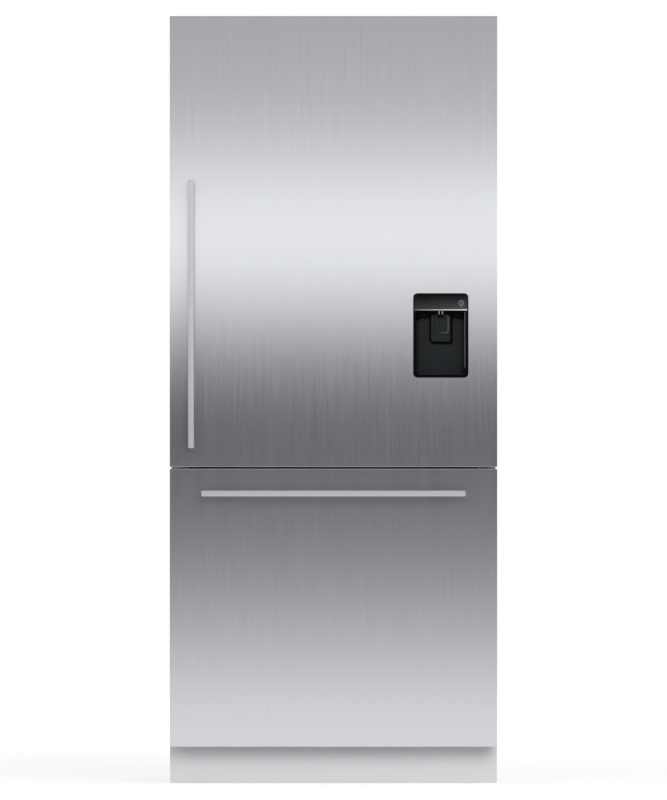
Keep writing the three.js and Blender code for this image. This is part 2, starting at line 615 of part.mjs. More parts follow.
function machinery() {
  const shroudRear = CONDENSER_Y[1] + SHROUD.gap + SHROUD.depth;
  const fanZ = ON_PAN + SHROUD.height / 2;
  const dripX = [
    COMPRESSOR_AT[0] + COMPRESSOR.base[0] / 2 + DRIP_TRAY.sideGap,
    CONDENSER_X - CONDENSER.width / 2 - DRIP_TRAY.sideGap,
  ];
  const dripFront = MACHINE_FRONT + DRIP_TRAY.behind;
  const dripTray = tub(
    dripX, [dripFront, dripFront + DRIP_TRAY.depth], [ON_PAN, ON_PAN + DRIP_TRAY.height], DRIP_TRAY.wall);
  return group([
    piece('compressor', compressor(), blackEnamel, COMPRESSOR_AT),
    piece('condenser', condenser(), finAluminium),
    piece('condenser_fan_shroud', condenserFanShroud(), greyPlastic, [CONDENSER_X, shroudRear, fanZ]),
    piece('condenser_fan', fan(CONDENSER_FAN), fanPlastic,
      [CONDENSER_X, shroudRear - SPIDER_THICKNESS - FIT, fanZ]),
    piece('drip_tray', dripTray, greyPlastic),
    piece('control_box', controlBox(), zinc),
    piece('power_inlet', powerInlet(), blackSatin),
    piece('water_valve', waterValve(), greyPlastic),
  ]);
}

// ---------------------------------------------------------------- inside the freezer

// A cover before the evaporator, with air slots and a collar for the fan behind its round opening
function ductCover(fanZ) {
  const y = [DUCT_FRONT, DUCT_FRONT + DUCT_COVER.thickness];
  const collarRear = y[1] + EVAPORATOR_FAN.depth + SPIDER_THICKNESS + 2 * FIT;
  const sheet = block(grow(CAVITY_X, -FIT), y, [FREEZER.step.top + FIT, FREEZER.z[1] - FIT]);
  const collar = rod(
    'y', [0, fanZ], EVAPORATOR_FAN.radius + DUCT_COVER.thickness, [middle(y), collarRear], 32);
  const opening = rod('y', [0, fanZ], EVAPORATOR_FAN.radius, [y[0] - OVERCUT, collarRear + OVERCUT], 32);
  const slots = Array.from({ length: DUCT_SLOT.count }, (_, i) => block(
    centred(DUCT_SLOT.width, (i - (DUCT_SLOT.count - 1) / 2) * DUCT_SLOT.pitch),
    grow(y, OVERCUT),
    centred(DUCT_SLOT.height, FREEZER.step.top + DUCT_SLOT.above)));
  return sheet.add(collar).subtract(joined([opening, ...slots]))
    .add(spider(EVAPORATOR_FAN, collarRear).translate([0, 0, fanZ]));
}

// Upright fins on a serpentine's straight runs, against the freezer's rear wall
function evaporator() {
  const y = [CAVITY_REAR - FIT - EVAPORATOR.depth, CAVITY_REAR - FIT];
  const low = FREEZER.step.top + EVAPORATOR.above;
  const z = [low, low + EVAPORATOR.height];
  const width = CAVITY_X[1] - CAVITY_X[0] - 2 * EVAPORATOR.sideGap;
  const count = Math.floor(width / EVAPORATOR.finPitch) + 1;
  const fins = Array.from({ length: count }, (_, i) =>
    block(centred(CONDENSER.fin, (i - (count - 1) / 2) * EVAPORATOR.finPitch), y, z));
  const reach = (count - 1) * EVAPORATOR.finPitch;
  const runs = [1, 3].map((quarter) =>
    rod('x', [middle(y), z[0] + (EVAPORATOR.height * quarter) / 4], CONDENSER.tube, centred(reach), 8));
  return joined([...fins, ...runs]);
}

function iceMaker() {
  const left = CAVITY_X[0] + ICE_MAKER.sideGap;
  const rear = DUCT_FRONT - ICE_MAKER.rearGap;
  const x = [left, left + ICE_MAKER.width];
  const y = [rear - ICE_MAKER.depth, rear];
  const top = FREEZER.z[1] - FIT;
  const z = [top - ICE_MAKER.height, top];
  const mould = block(grow(x, -ICE_MAKER.height / 4), grow(y, -ICE_MAKER.height / 4), [z[0], top]);
  const plate = block(x, y, [top - ICE_MAKER.height / 2, top]);
  return mould.add(plate);
}

// A rail or slide member and its turned twin on the left
function pair(name, solid, look, outer) {
  return ['left', 'right'].map((side) => {
    const mesh = piece(`${name}_${side}`, solid, look, [side === 'left' ? -outer : outer, middle(RAIL_RUN), RAIL_Z]);
    mesh.rotation.z = side === 'left' ? Math.PI : 0;
    return mesh;
  });
}

function freezerInterior() {
  const rail = channel(RAIL.width, RAIL.height, RAIL_LENGTH, RAIL.lip, RAIL.web);
  const slide = channel(SLIDE_WIDTH, SLIDE_HEIGHT, RAIL_LENGTH, SLIDE_LIP, SLIDE_WEB);
  const fanZ = FREEZER.z[1] - EVAPORATOR_FAN.below;
  const fanRear = DUCT_FRONT + DUCT_COVER.thickness + EVAPORATOR_FAN.depth + FIT;
  const trayX = grow(CAVITY_X, -TRAY.sideGap);
  const trayY = [TRAY.front, DUCT_FRONT - TRAY.rearGap];
  return group([
    ...pair('freezer_rail', rail, zinc, RAIL_OUTER),
    ...pair('slide_middle', slide, zinc, SLIDE_OUTER),
    piece('freezer_duct_cover', ductCover(fanZ), linerWhite),
    piece('evaporator', evaporator(), finAluminium),
    piece('evaporator_fan', fan(EVAPORATOR_FAN), fanPlastic, [0, fanRear, fanZ]),
    piece('ice_maker', iceMaker(), greyPlastic),
    piece('freezer_tray', tub(trayX, trayY, [TRAY_FLOOR, TRAY_FLOOR + TRAY.height], TRAY.wall), clearPlastic),
  ]);
}

// ---------------------------------------------------------------- inside the fridge

// A glass plate with a deeper trim along its front and rear edges
function shelf() {
  const plate = block(SHELF_X, [SHELF_FRONT, SHELF_REAR], [0, SHELF_THICKNESS]);
  const inner = grow(SHELF_X, -LEDGE.width - FIT);
  const z = [SHELF_THICKNESS - SHELF_TRIM.height, SHELF_THICKNESS];
  return joined([
    plate,
    block(inner, [SHELF_FRONT, SHELF_FRONT + SHELF_TRIM.depth], z),
    block(inner, [SHELF_REAR - SHELF_TRIM.depth, SHELF_REAR], z),
  ]);
}

// A drawer with a grip along the top of its front
function crisper() {
  const width = middle([CAVITY_X[1], 0]) * 2 - CRISPER.sideGap - CRISPER.gap / 2;
  const front = SHELF_FRONT + CRISPER.setback;
  const box = tub(centred(width), [front, CAVITY_REAR - CRISPER.rearGap], [0, CRISPER.height], CRISPER.wall);
  const grip = block(
    centred(CRISPER_GRIP.width),
    [front - CRISPER_GRIP.depth, front + CRISPER.wall],
    [CRISPER.height - CRISPER_GRIP.height, CRISPER.height]);
  const hollow = block(
    centred(CRISPER_GRIP.width - 2 * CRISPER.wall),
    [front - CRISPER_GRIP.depth + CRISPER.wall, front],
    [CRISPER.height - CRISPER_GRIP.height - OVERCUT, CRISPER.height - CRISPER.wall]);
  return box.add(grip.subtract(hollow));
}

function fridgeInterior() {
  const floor = FRIDGE.z[0];
  const crisperX = (CAVITY_X[1] - CRISPER.sideGap + CRISPER.gap / 2) / 2;
  const shelves = Object.entries(SHELF_FLOORS).map(([name, height]) =>
    piece(name, shelf(), shelfGlass, [0, 0, floor + height]));
  const tower = block(
    centred(TOWER.width), [CAVITY_REAR - FIT - TOWER.depth, CAVITY_REAR - FIT],
    [floor + TOWER.floor, FRIDGE.z[1] - TOWER.top]);
  const lamp = block(
    centred(LAMP.width), [LAMP.front, LAMP.front + LAMP.depth],
    [FRIDGE.z[1] - FIT - LAMP.height, FRIDGE.z[1] - FIT]);
  return group([
    ...shelves,
    piece('crisper_cover', shelf(), shelfGlass, [0, 0, floor + CRISPER_COVER_FLOOR]),
    piece('crisper_left', crisper(), frostedPlastic, [-crisperX, 0, floor + FIT]),
    piece('crisper_right', crisper(), frostedPlastic, [crisperX, 0, floor + FIT]),
    piece('air_tower', tower, linerWhite),
    piece('ceiling_lamp', lamp, lampCover),
  ]);
}

// ---------------------------------------------------------------- door and drawer fronts

// A folded tray of sheet steel with return lips round its open back
function trayPanel(z) {
  const outer = block(PANEL_X, [PANEL_FRONT, PANEL_BACK], z);
  const hollow = block(
    grow(PANEL_X, -SHEET), [PANEL_FRONT + SHEET, PANEL_BACK - SHEET], grow(z, -SHEET));
  const back = block(
    grow(PANEL_X, -PANEL_LIP), [PANEL_FRONT + SHEET, PANEL_BACK + OVERCUT], grow(z, -PANEL_LIP));
  return outer.subtract(hollow.add(back));
}

// A foamed slab whose front fills the tray panel
function core(z, panelZ) {
  const slab = block(CORE_X, [CORE_FRONT, CORE_BACK], z);
  const margin = -PANEL_LIP - FIT;
  const filling = block(
    grow(PANEL_X, margin), [PANEL_FRONT + SHEET + FIT, CORE_FRONT + OVERCUT], grow(panelZ, margin));
  return slab.add(filling);
}

// A flat ring that lies on the case's front round a compartment's mouth
function gasket({ x, z }) {
  const margin = LINER_WALL + FIT + GASKET_MARGIN;
  const y = [BEHIND_CORE, -FIT];
  const outer = block(grow(x, margin + GASKET_WIDTH), y, grow(z, margin + GASKET_WIDTH));
  return outer.subtract(block(grow(x, margin), grow(y, OVERCUT), grow(z, margin)));
}

// A handle bar along x with a crowned face and rounded ends; y = 0 is the panel that it stands on
function handleBar(length) {
  const back = -HANDLE_FOOT.depth - 2 * FIT;
  const front = back - BAR_DEPTH;
  const half = BAR_WIDTH / 2;
  const section = new THREE.Shape();
  section.moveTo(back, -half);
  section.lineTo(back, half);
  section.lineTo(front + BAR_CROWN, half);
  section.quadraticCurveTo(front - BAR_CROWN, 0, front + BAR_CROWN, -half);
  section.closePath();
  const outline = roundedRectangle(centred(length), centred(BAR_WIDTH), BAR_END_RADIUS);
  return prism('x', section, centred(length), 10).intersect(prism('y', outline, [2 * front, 0]));
}

// A foot that tapers from the panel to the bar
function handleFoot() {
  const { length, width, depth, taper } = HANDLE_FOOT;
  const outline = new THREE.Shape();
  outline.moveTo(-length / 2, -FIT);
  outline.lineTo(taper / 2 - length / 2, -FIT - depth);
  outline.lineTo(length / 2 - taper / 2, -FIT - depth);
  outline.lineTo(length / 2, -FIT);
  outline.closePath();
  return prism('z', outline, centred(width));
}

function handle(name, length, footNames, position) {
  const reach = (length - HANDLE_FOOT.length) / 2 - HANDLE_FOOT.inset;
  return group([
    piece(`${name}_bar`, handleBar(length), handleSteel),
    piece(`${name}_foot_${footNames[0]}`, handleFoot(), handleSteel, [-reach, 0, 0]),
    piece(`${name}_foot_${footNames[1]}`, handleFoot(), handleSteel, [reach, 0, 0]),
  ], position);
}

// ---------------------------------------------------------------- dispenser

const DISPENSER_AT = [PANEL_X[1] - DISPENSER_FROM_EDGE, PANEL_FRONT, DOOR_Z[0] + DISPENSER_HEIGHT_ON_DOOR];
const RECESS_Z = [-RECESS.below, RECESS.above];
const PADDLE_AXIS = [PADDLE.y, RECESS.above - PADDLE.drop];

// The bezel and the box behind it, grown by a margin
function dispenserBody(margin) {
  const bezel = roundedRectangle(
    grow(centred(BEZEL.width), margin), grow(centred(BEZEL.height), margin), BEZEL.radius + margin);
  const box = roundedRectangle(
    grow(centred(BEZEL.width), margin - HOUSING_STEP), grow(centred(BEZEL.height), margin - HOUSING_STEP),
    BEZEL.radius - HOUSING_STEP + margin);
  return prism('y', bezel, [-BEZEL.proud, BEZEL.depth + margin])
    .add(prism('y', box, [BEZEL.depth - OVERCUT, HOUSING_DEPTH + margin]));
}

// The fascia's place over the recess
function fasciaBlock(margin, front) {
  const top = BEZEL.height / 2 - FASCIA.margin;
  const x = centred(BEZEL.width - 2 * FASCIA.margin);
  const outline = roundedRectangle(
    grow(x, margin), grow([top - FASCIA.height, top], margin), BEZEL.radius - FASCIA.margin);
  return prism('y', outline, [front, FASCIA.thickness - BEZEL.proud]);
}

function dispenserHousing() {
  const recess = roundedRectangle(centred(RECESS.width), RECESS_Z, RECESS.radius);
  const cavity = prism('y', recess, [-BEZEL.proud - OVERCUT, HOUSING_DEPTH - HOUSING_WALL]);
  const pocket = fasciaBlock(0, -BEZEL.proud - OVERCUT);
  const inner = PADDLE.width / 2 + FIT;
  const lugZ = [RECESS.above - LUG.height, RECESS.above + OVERCUT];
  const lugs = [[inner, inner + LUG.thickness], [-inner - LUG.thickness, -inner]].map((across) =>
    block(across, centred(LUG.depth, PADDLE_AXIS[0]), lugZ)
      .subtract(rod('x', PADDLE_AXIS, PADDLE_PIN + FIT, grow(across, OVERCUT), 16)));
  return joined([dispenserBody(0).subtract(cavity).subtract(pocket), ...lugs]);
}

// A block under the recess's ceiling with a short nozzle
function dispenserSpout() {
  const top = RECESS.above - FIT;
  const y = [SPOUT.front, SPOUT.front + SPOUT.depth];
  const body = block(centred(SPOUT.width), y, [top - SPOUT.height, top]);
  return body.add(rod('z', [0, middle(y)], NOZZLE.radius, [top - SPOUT.height - NOZZLE.length, top], 16));
}

// A hanging plate with a raised pad, a barrel along its top and a pin at each end; its own origin is its axis
function dispenserPaddle() {
  const half = PADDLE.width / 2;
  const y = centred(PADDLE.thickness);
  const plate = prism('y', roundedRectangle([-half, half], [-PADDLE.length, 0], PADDLE_PAD.radius), y);
  const padTop = -PADDLE_PAD.below;
  const padOutline = roundedRectangle(
    centred(PADDLE_PAD.width), [padTop - PADDLE_PAD.height, padTop], PADDLE_PAD.radius);
  const pad = prism('y', padOutline, [y[0] - PADDLE_PAD.thickness, y[1]]);
  const barrel = rod('x', [0, 0], PADDLE_BARREL, [-half, half], 16);
  const pins = rod('x', [0, 0], PADDLE_PIN, grow([-half, half], LUG.thickness), 16);
  return joined([plate, pad, barrel, pins]);
}

function dispenser() {
  const fascia = fasciaBlock(-FIT, -BEZEL.proud)
    .subtract(block(centred(BEZEL.width), [FASCIA.thickness - BEZEL.proud - FIT, BEZEL.depth],
      centred(BEZEL.height)));
  return group([
    piece('dispenser_housing', dispenserHousing(), blackSatin),
    piece('dispenser_fascia', fascia, blackGloss),
    piece('dispenser_spout', dispenserSpout(), blackSatin),
    piece('dispenser_paddle', dispenserPaddle(), blackGloss, [0, ...PADDLE_AXIS]),
  ], DISPENSER_AT);
}

// ---------------------------------------------------------------- upper door

const DYKE_X = grow(CAVITY_X, -DYKE_CLEARANCE);
const DYKE_Z = [FRIDGE.z[0] + DYKE_FLOOR, FRIDGE.z[1] - DYKE_TOP];
const LINER_FACE = BEHIND_CORE + LINER_WALL;

function doorPanel() {
  return trayPanel(DOOR_Z).subtract(dispenserBody(FIT).translate(DISPENSER_AT));
}

function doorCore() {
  const bores = [[DOOR_CORE_Z[0] - OVERCUT, DOOR_CORE_Z[0] + PIN_LENGTH + FIT],
    [DOOR_CORE_Z[1] - PIN_LENGTH - FIT, DOOR_CORE_Z[1] + OVERCUT]].map((range) =>
    rod('z', [PIVOT_X, PIVOT_Y], PIN_RADIUS + FIT, range));
  return core(DOOR_CORE_Z, DOOR_Z).subtract(joined([...bores, dispenserBody(FIT).translate(DISPENSER_AT)]));
}

// A moulded sheet with a deep rim, the dykes, that reaches into the fridge
function doorLiner() {
  const outer = block(DYKE_X, [BEHIND_CORE, DYKE_DEPTH], DYKE_Z);
  return outer.subtract(
    block(grow(DYKE_X, -DYKE_WIDTH), [LINER_FACE, DYKE_DEPTH + OVERCUT], grow(DYKE_Z, -DYKE_WIDTH)));
}

function doorBins() {
  const x = grow(DYKE_X, -DYKE_WIDTH - FIT);
  const y = [LINER_FACE + FIT, BIN_REACH];
  return Object.entries(BIN_FLOORS).map(([name, height]) =>
    piece(name, tub(x, y, [0, BIN_HEIGHT], BIN_WALL), clearPlastic, [0, 0, FRIDGE.z[0] + height]));
}

function topHinge() {
  const y = [PIVOT_Y - BRACKET_FRONT, TOP_BRACKET.rear];
  const x = [PIVOT_X - TOP_BRACKET.inner, PIVOT_X + BRACKET_OUTER];
  const plate = block(x, y, [CASE_TOP + FIT, CASE_TOP + FIT + BRACKET_THICKNESS]);
  return plate.add(rod('z', [PIVOT_X, PIVOT_Y], PIN_RADIUS, [DOOR_CORE_Z[1] - PIN_LENGTH, CASE_TOP + OVERCUT]));
}

function bottomHinge() {
  const top = DOOR_CORE_Z[0] - FIT;
  const x = [PIVOT_X - BOTTOM_BRACKET_INNER, PIVOT_X + BRACKET_OUTER];
  const plate = block(x, [PIVOT_Y - BRACKET_FRONT, -FIT], [top - BRACKET_THICKNESS, top]);
  const leaf = block(
    [x[1] - LEAF_WIDTH, x[1]], [-FIT - LEAF_THICKNESS, -FIT], [top - LEAF_HEIGHT, top]);
  const pin = rod('z', [PIVOT_X, PIVOT_Y], PIN_RADIUS, [top - OVERCUT, DOOR_CORE_Z[0] + PIN_LENGTH]);
  return joined([plate, leaf, pin]);
}

function upperDoor() {
  const doorHandle = handle('door_handle', DOOR_HANDLE.length, ['lower', 'upper'],
    [PANEL_X[0] + DOOR_HANDLE.fromEdge, PANEL_FRONT, DOOR_Z[0] + DOOR_HANDLE.centreHeight]);
  doorHandle.rotation.y = -Math.PI / 2; // the bar's x points up
  return group([
    piece('door_panel', doorPanel(), steel),
    piece('door_core', doorCore(), doorFoam),
    piece('door_liner', doorLiner(), linerWhite),
    piece('door_gasket', gasket(FRIDGE), rubberGrey),
    ...doorBins(),
    doorHandle,
    dispenser(),
  ]);
}

// ---------------------------------------------------------------- freezer drawer

// A plate on the core's back with an arm in each slide
function drawerFrame() {
  const z = centred(ARM_HEIGHT, RAIL_Z);
  const y = [BEHIND_CORE, RAIL_RUN[1]];
  const plate = block(
    [-ARM_OUTER, ARM_OUTER], [BEHIND_CORE, BEHIND_CORE + FRAME_PLATE.thickness],
    [RAIL_Z + ARM_HEIGHT / 2 - FRAME_PLATE.height, RAIL_Z + ARM_HEIGHT / 2]);
  return joined([plate, block([ARM_INNER, ARM_OUTER], y, z), block([-ARM_OUTER, -ARM_INNER], y, z)]);
}

// A deep bin that hangs on the arms by its rim
function freezerBin() {
  const x = [-ARM_INNER + BIN_SIDE_GAP, ARM_INNER - BIN_SIDE_GAP];
  const y = [FREEZER_BIN.front, FREEZER.step.front - FREEZER_BIN.rearGap];
  const rimLow = RAIL_Z + ARM_HEIGHT / 2 + FIT;
  const rimTop = rimLow + FREEZER_BIN.rim;
  const rimX = grow([-SLIDE_OUTER + SLIDE_WIDTH, SLIDE_OUTER - SLIDE_WIDTH], -1);
  const hollow = block(
    grow(x, -FREEZER_BIN.wall), grow(y, -FREEZER_BIN.wall),
    [FREEZER.z[0] + FREEZER_BIN.floor + FREEZER_BIN.wall, rimTop + OVERCUT]);
  return block(x, y, [FREEZER.z[0] + FREEZER_BIN.floor, rimTop])
    .add(block(rimX, y, [rimLow, rimTop]))
    .subtract(hollow);
}

function freezerDrawer() {
  return group([
    piece('drawer_panel', trayPanel(DRAWER_Z), steel),
    piece('drawer_core', core(DRAWER_CORE_Z, DRAWER_Z), doorFoam),
    piece('drawer_gasket', gasket(FREEZER), rubberGrey),
    piece('drawer_frame', drawerFrame(), bracketSteel),
    piece('freezer_bin', freezerBin(), clearPlastic),
    handle('drawer_handle', DRAWER_HANDLE.length, ['left', 'right'],
      [0, PANEL_FRONT, DRAWER_Z[1] - DRAWER_HANDLE.belowTop]),
  ]);
}

// ---------------------------------------------------------------- the whole refrigerator

// The origin is under the middle of the whole, from the handles' faces to the rear panel
const HANDLE_FACE = PANEL_FRONT - HANDLE_FOOT.depth - 2 * FIT - BAR_DEPTH;

const refrigerator = group([
  cabinet(),
  machinery(),
  freezerInterior(),
  fridgeInterior(),
  group([piece('top_hinge', topHinge(), bracketSteel), piece('bottom_hinge', bottomHinge(), bracketSteel)]),
  upperDoor(),
  freezerDrawer(),
], [0, -(HANDLE_FACE + CASE_DEPTH) / 2, 0]);

export default refrigerator;
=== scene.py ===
"""A bottom freezer refrigerator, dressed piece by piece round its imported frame.

Lengths inside the shape functions are millimetres in the frame's axes: +X right, +Y to the rear, +Z up.
"""

import json
import math

import bpy
import numpy as np
from bpy.props import FloatProperty, FloatVectorProperty, IntProperty, PointerProperty
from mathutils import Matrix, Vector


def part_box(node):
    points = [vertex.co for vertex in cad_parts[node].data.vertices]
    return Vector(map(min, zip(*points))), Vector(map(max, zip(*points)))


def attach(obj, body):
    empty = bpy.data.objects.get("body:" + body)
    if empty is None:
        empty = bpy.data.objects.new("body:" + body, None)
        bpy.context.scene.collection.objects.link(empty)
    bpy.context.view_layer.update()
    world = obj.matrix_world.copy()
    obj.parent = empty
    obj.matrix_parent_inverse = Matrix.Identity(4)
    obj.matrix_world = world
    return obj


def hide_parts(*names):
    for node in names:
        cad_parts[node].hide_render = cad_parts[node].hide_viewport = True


bl_info = {
    "name": "Bottom Freezer Refrigerator",
    "version": (1, 0, 0),
    "blender": (4, 5, 0),
    "location": "View3D > Sidebar > Refrigerator",
    "description": "Dresses the packed frame of a bottom freezer refrigerator with its finished pieces",
    "category": "Object",
}

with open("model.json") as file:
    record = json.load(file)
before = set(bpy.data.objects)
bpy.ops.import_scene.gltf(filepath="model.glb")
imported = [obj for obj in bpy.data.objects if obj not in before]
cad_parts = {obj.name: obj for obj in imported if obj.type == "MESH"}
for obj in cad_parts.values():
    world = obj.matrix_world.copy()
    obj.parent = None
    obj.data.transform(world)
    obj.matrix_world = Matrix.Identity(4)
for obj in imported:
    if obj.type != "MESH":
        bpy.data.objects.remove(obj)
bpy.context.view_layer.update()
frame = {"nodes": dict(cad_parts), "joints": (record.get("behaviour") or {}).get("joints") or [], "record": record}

# ---------------------------------------------------------------- sizes and colours


def colour(label, description, red, green, blue):
    return FloatVectorProperty(
        name=label, description=description, subtype="COLOR", size=3, min=0, max=1, default=(red, green, blue))


def length(label, description, value):
    return FloatProperty(name=label, description=description, default=value, min=0, unit="LENGTH", precision=4)


class RefrigeratorColours(bpy.types.PropertyGroup):
    """Base colours of the finishes"""
    steel: colour("Panel steel", "Brushed steel of the door and drawer panels", 0.598, 0.608, 0.636)
    handle: colour("Handle steel", "Satin steel of the two bar handles", 0.525, 0.53, 0.541)
    toe: colour("Toe kick steel", "Satin finish of the plinth's front", 0.745, 0.75, 0.762)
    case: colour("Case paint", "Textured paint of the cabinet's sides and top", 0.33, 0.34, 0.35)
    zinc: colour("Galvanised sheet", "Chassis and rear panel", 0.56, 0.58, 0.59)
    bracket: colour("Bracket zinc", "Hinges, rails and slides", 0.60, 0.61, 0.62)
    liner: colour("Liner", "Vacuum formed liners and white mouldings", 0.87, 0.88, 0.88)
    glass: colour("Shelf glass", "Faint green of the float glass", 0.94, 0.985, 0.965)
    clear: colour("Clear plastic", "Door bins, tray and freezer bin", 0.965, 0.98, 0.985)
    frosted: colour("Frosted plastic", "Crisper drawers", 0.84, 0.88, 0.90)
    gasket: colour("Gasket", "Magnetic door seals", 0.24, 0.25, 0.26)
    rubber: colour("Black rubber", "Tyres, foot pads and grommets", 0.02, 0.02, 0.02)
    gloss: colour("Black gloss", "Glass fascia of the dispenser", 0.006, 0.0066, 0.0072)
    satin: colour("Black satin", "Dispenser recess, terminals and sockets", 0.010, 0.0125, 0.0145)
    enamel: colour("Black enamel", "Compressor shell", 0.015, 0.015, 0.016)
    plastic: colour("Grey plastic", "Machine compartment mouldings", 0.20, 0.21, 0.22)
    blades: colour("Fan blades", "Dark glass filled nylon of the fans", 0.035, 0.036, 0.04)
    aluminium: colour("Fin aluminium", "Fins of the two heat exchangers", 0.78, 0.79, 0.80)
    copper: colour("Copper", "Refrigerant pipes", 0.72, 0.36, 0.22)
    foam: colour("Insulating foam", "Urethane foam", 0.62, 0.52, 0.30)


class RefrigeratorSizes(bpy.types.PropertyGroup):
    """Sizes that are free within the frame"""
    fold: length("Fold radius", "Outside radius of the steel panels' folds", 0.0013)
    sheet: length("Sheet", "Thickness of the panels' steel", 0.0012)
    bar_ridge: length("Bar crown", "How far the middle of a handle's face stands proud", 0.0016)
    ribs: IntProperty(name="Bin ribs", description="Ribs along the floor of the freezer bin", default=11, min=2, max=40)


def colours():
    return bpy.context.scene.refrigerator_colours


def sizes():
    return bpy.context.scene.refrigerator_sizes


# ---------------------------------------------------------------- shapes: (points, [faces by corner count])


def outward(points, faces):
    """Faces turned outwards: the sum of first . (second x third) over a fan of each face has to be positive."""
    points = np.asarray(points, float)
    volume = 0.0
    for face in faces:
        first, second, third = points[face[:, :1]], points[face[:, 1:-1]], points[face[:, 2:]]
        volume += float((first * np.cross(second, third)).sum())
    return points, ([face[:, ::-1] for face in faces] if volume < 0 else faces)


def skin(loops, ring=False, ends=True):
    """Quads from each outline to the next one of as many points; ring joins the last to the first, ends fills both."""
    loops = np.asarray(loops, float)
    rows, count = loops.shape[:2]
    index = np.arange(rows * count).reshape(rows, count)
    low, high = (index, np.roll(index, -1, 0)) if ring else (index[:-1], index[1:])
    faces = [np.stack([low, np.roll(low, -1, 1), np.roll(high, -1, 1), high], -1).reshape(-1, 4)]
    if not ring and ends:
        faces += [index[:1, ::-1], index[-1:]]
    return outward(loops.reshape(-1, 3), faces)


def across(flat, axis, at):
    """Puts flat (u, v) points square to an axis: x takes (y, z), y takes (x, z), z takes (x, y)."""
    return np.insert(flat, "xyz".index(axis), at, axis=-1)


def hoops(axis, rect, radius, profile, arc=6):
    """Outlines of a rounded rectangle (u0, u1, v0, v1), one for each (inset, height) of a profile along the axis.

    A corner point is its centre plus (radius - inset) times (cos, sin); radius is one number or one for each corner,
    from the high u, high v corner anticlockwise.
    """
    inset, at = np.asarray(profile, float).T
    turn = np.radians(np.repeat(np.arange(4) * 90.0, arc + 1) + np.tile(np.linspace(0, 90, arc + 1), 4))
    side_u, side_v = np.repeat([1, -1, -1, 1], arc + 1), np.repeat([1, 1, -1, -1], arc + 1)
    corner = np.maximum(np.repeat(np.broadcast_to(radius, 4), arc + 1) - inset[:, None], 0.03)
    half_u = (rect[1] - rect[0]) / 2 - inset[:, None] - corner
    half_v = (rect[3] - rect[2]) / 2 - inset[:, None] - corner
    flat = np.stack([
        (rect[0] + rect[1]) / 2 + side_u * half_u + corner * np.cos(turn),
        (rect[2] + rect[3]) / 2 + side_v * half_v + corner * np.sin(turn)], -1)
    return across(flat, axis, at[:, None])


def around(axis, rect, radius, profile, ring=False, arc=6):
    """A profile of (inset, height) points carried round a rounded rectangle."""
    return skin(hoops(axis, rect, radius, profile, arc), ring)


def soften(points, radius, steps=3, ring=False):
    """Rounds the corners of a line: p' = (1-t)^2 before + 2t(1-t) corner + t^2 after, with both at most 45% away."""
    points = np.asarray(points, float)
    back, ahead = np.roll(points, 1, 0) - points, np.roll(points, -1, 0) - points
    far = [np.linalg.norm(side, axis=1, keepdims=True) + 1e-9 for side in (back, ahead)]
    reach = np.minimum(np.broadcast_to(radius, len(points))[:, None], 0.45 * np.minimum(*far))
    start, stop = points + back / far[0] * reach, points + ahead / far[1] * reach
    t = np.linspace(0, 1, steps + 1)[None, :, None]
    curve = (1 - t) ** 2 * start[:, None] + 2 * t * (1 - t) * points[:, None] + t ** 2 * stop[:, None]
    if ring:
        return curve.reshape(-1, points.shape[1])
    return np.concatenate([points[:1], curve[1:-1].reshape(-1, points.shape[1]), points[-1:]])


def slab(axis, rect, radius, run, edge=1.0, arc=4, steps=3):
    """A plate over a rounded rectangle, its rims quarter circles: inset = e(1 - sin t), rise = e(1 - cos t)."""
    t = np.linspace(0, math.pi / 2, steps + 1)
    rim = np.stack([edge * (1 - np.sin(t)), edge * (1 - np.cos(t))], -1)
    return around(axis, rect, radius, np.concatenate([rim + (0, run[0]), rim[::-1] * (1, -1) + (0, run[1])]), arc=arc)


def block(x, y, z, edge=1.0, radius=None, axis="z", **more):
    """A slab between three ranges."""
    ranges = {"x": (y, z, x), "y": (x, z, y), "z": (x, y, z)}[axis]
    return slab(axis, (*ranges[0], *ranges[1]), edge if radius is None else radius, ranges[2], edge, **more)


def carry(path, section, up=(0, 0, 1), ring=False):
    """A section of (side, rise) points carried along a path: side = ahead x up, rise = side x ahead."""
    path = np.asarray(path, float)
    ahead = np.roll(path, -1, 0) - np.roll(path, 1, 0)
    if not ring:
        ahead[0], ahead[-1] = path[1] - path[0], path[-1] - path[-2]
    ahead /= np.linalg.norm(ahead, axis=1, keepdims=True)
    side = np.cross(ahead, up)
    side /= np.linalg.norm(side, axis=1, keepdims=True)
    rise = np.cross(side, ahead)
    section = np.asarray(section, float)
    return skin(path[:, None] + side[:, None] * section[..., :1] + rise[:, None] * section[..., 1:], ring)


def circle(radius, sides=12):
    turn = np.arange(sides) * 2 * math.pi / sides
    return radius * np.stack([np.cos(turn), np.sin(turn)], -1)


def pipe(path, radius, bend=0.0, up=(0, 0, 1), sides=10, ring=False, steps=5):
    """A round section carried along a path whose corners are bent."""
    return carry(soften(path, bend, steps, ring) if bend else path, circle(radius, sides), up, ring)


def turned(axis, centre, profile, sides=32, ring=False):
    """A profile of (radius, height) points turned round an axis through a point of the two others."""
    profile = np.asarray(profile, float)
    flat = np.asarray(centre, float) + circle(1, sides) * np.maximum(profile[:, 0], 0.05)[:, None, None]
    return skin(across(flat, axis, profile[:, 1][:, None]), ring)


def closed(points, radius, steps=3):
    """A closed outline with rounded corners."""
    return soften(points, radius, steps, ring=True)


def rounded(u, v, edge, steps=3):
    """The outline of a rectangle between two ranges, with rounded corners."""
    return closed([(u[0], v[0]), (u[0], v[1]), (u[1], v[1]), (u[1], v[0])], edge, steps)


def stretched(section, axis, run, ends=True):
    """A section drawn straight along an axis, from one end of a run to the other."""
    section = np.asarray(section, float)
    return skin(across(np.broadcast_to(section, (2, *section.shape)), axis, np.array(run)[:, None]), ends=ends)


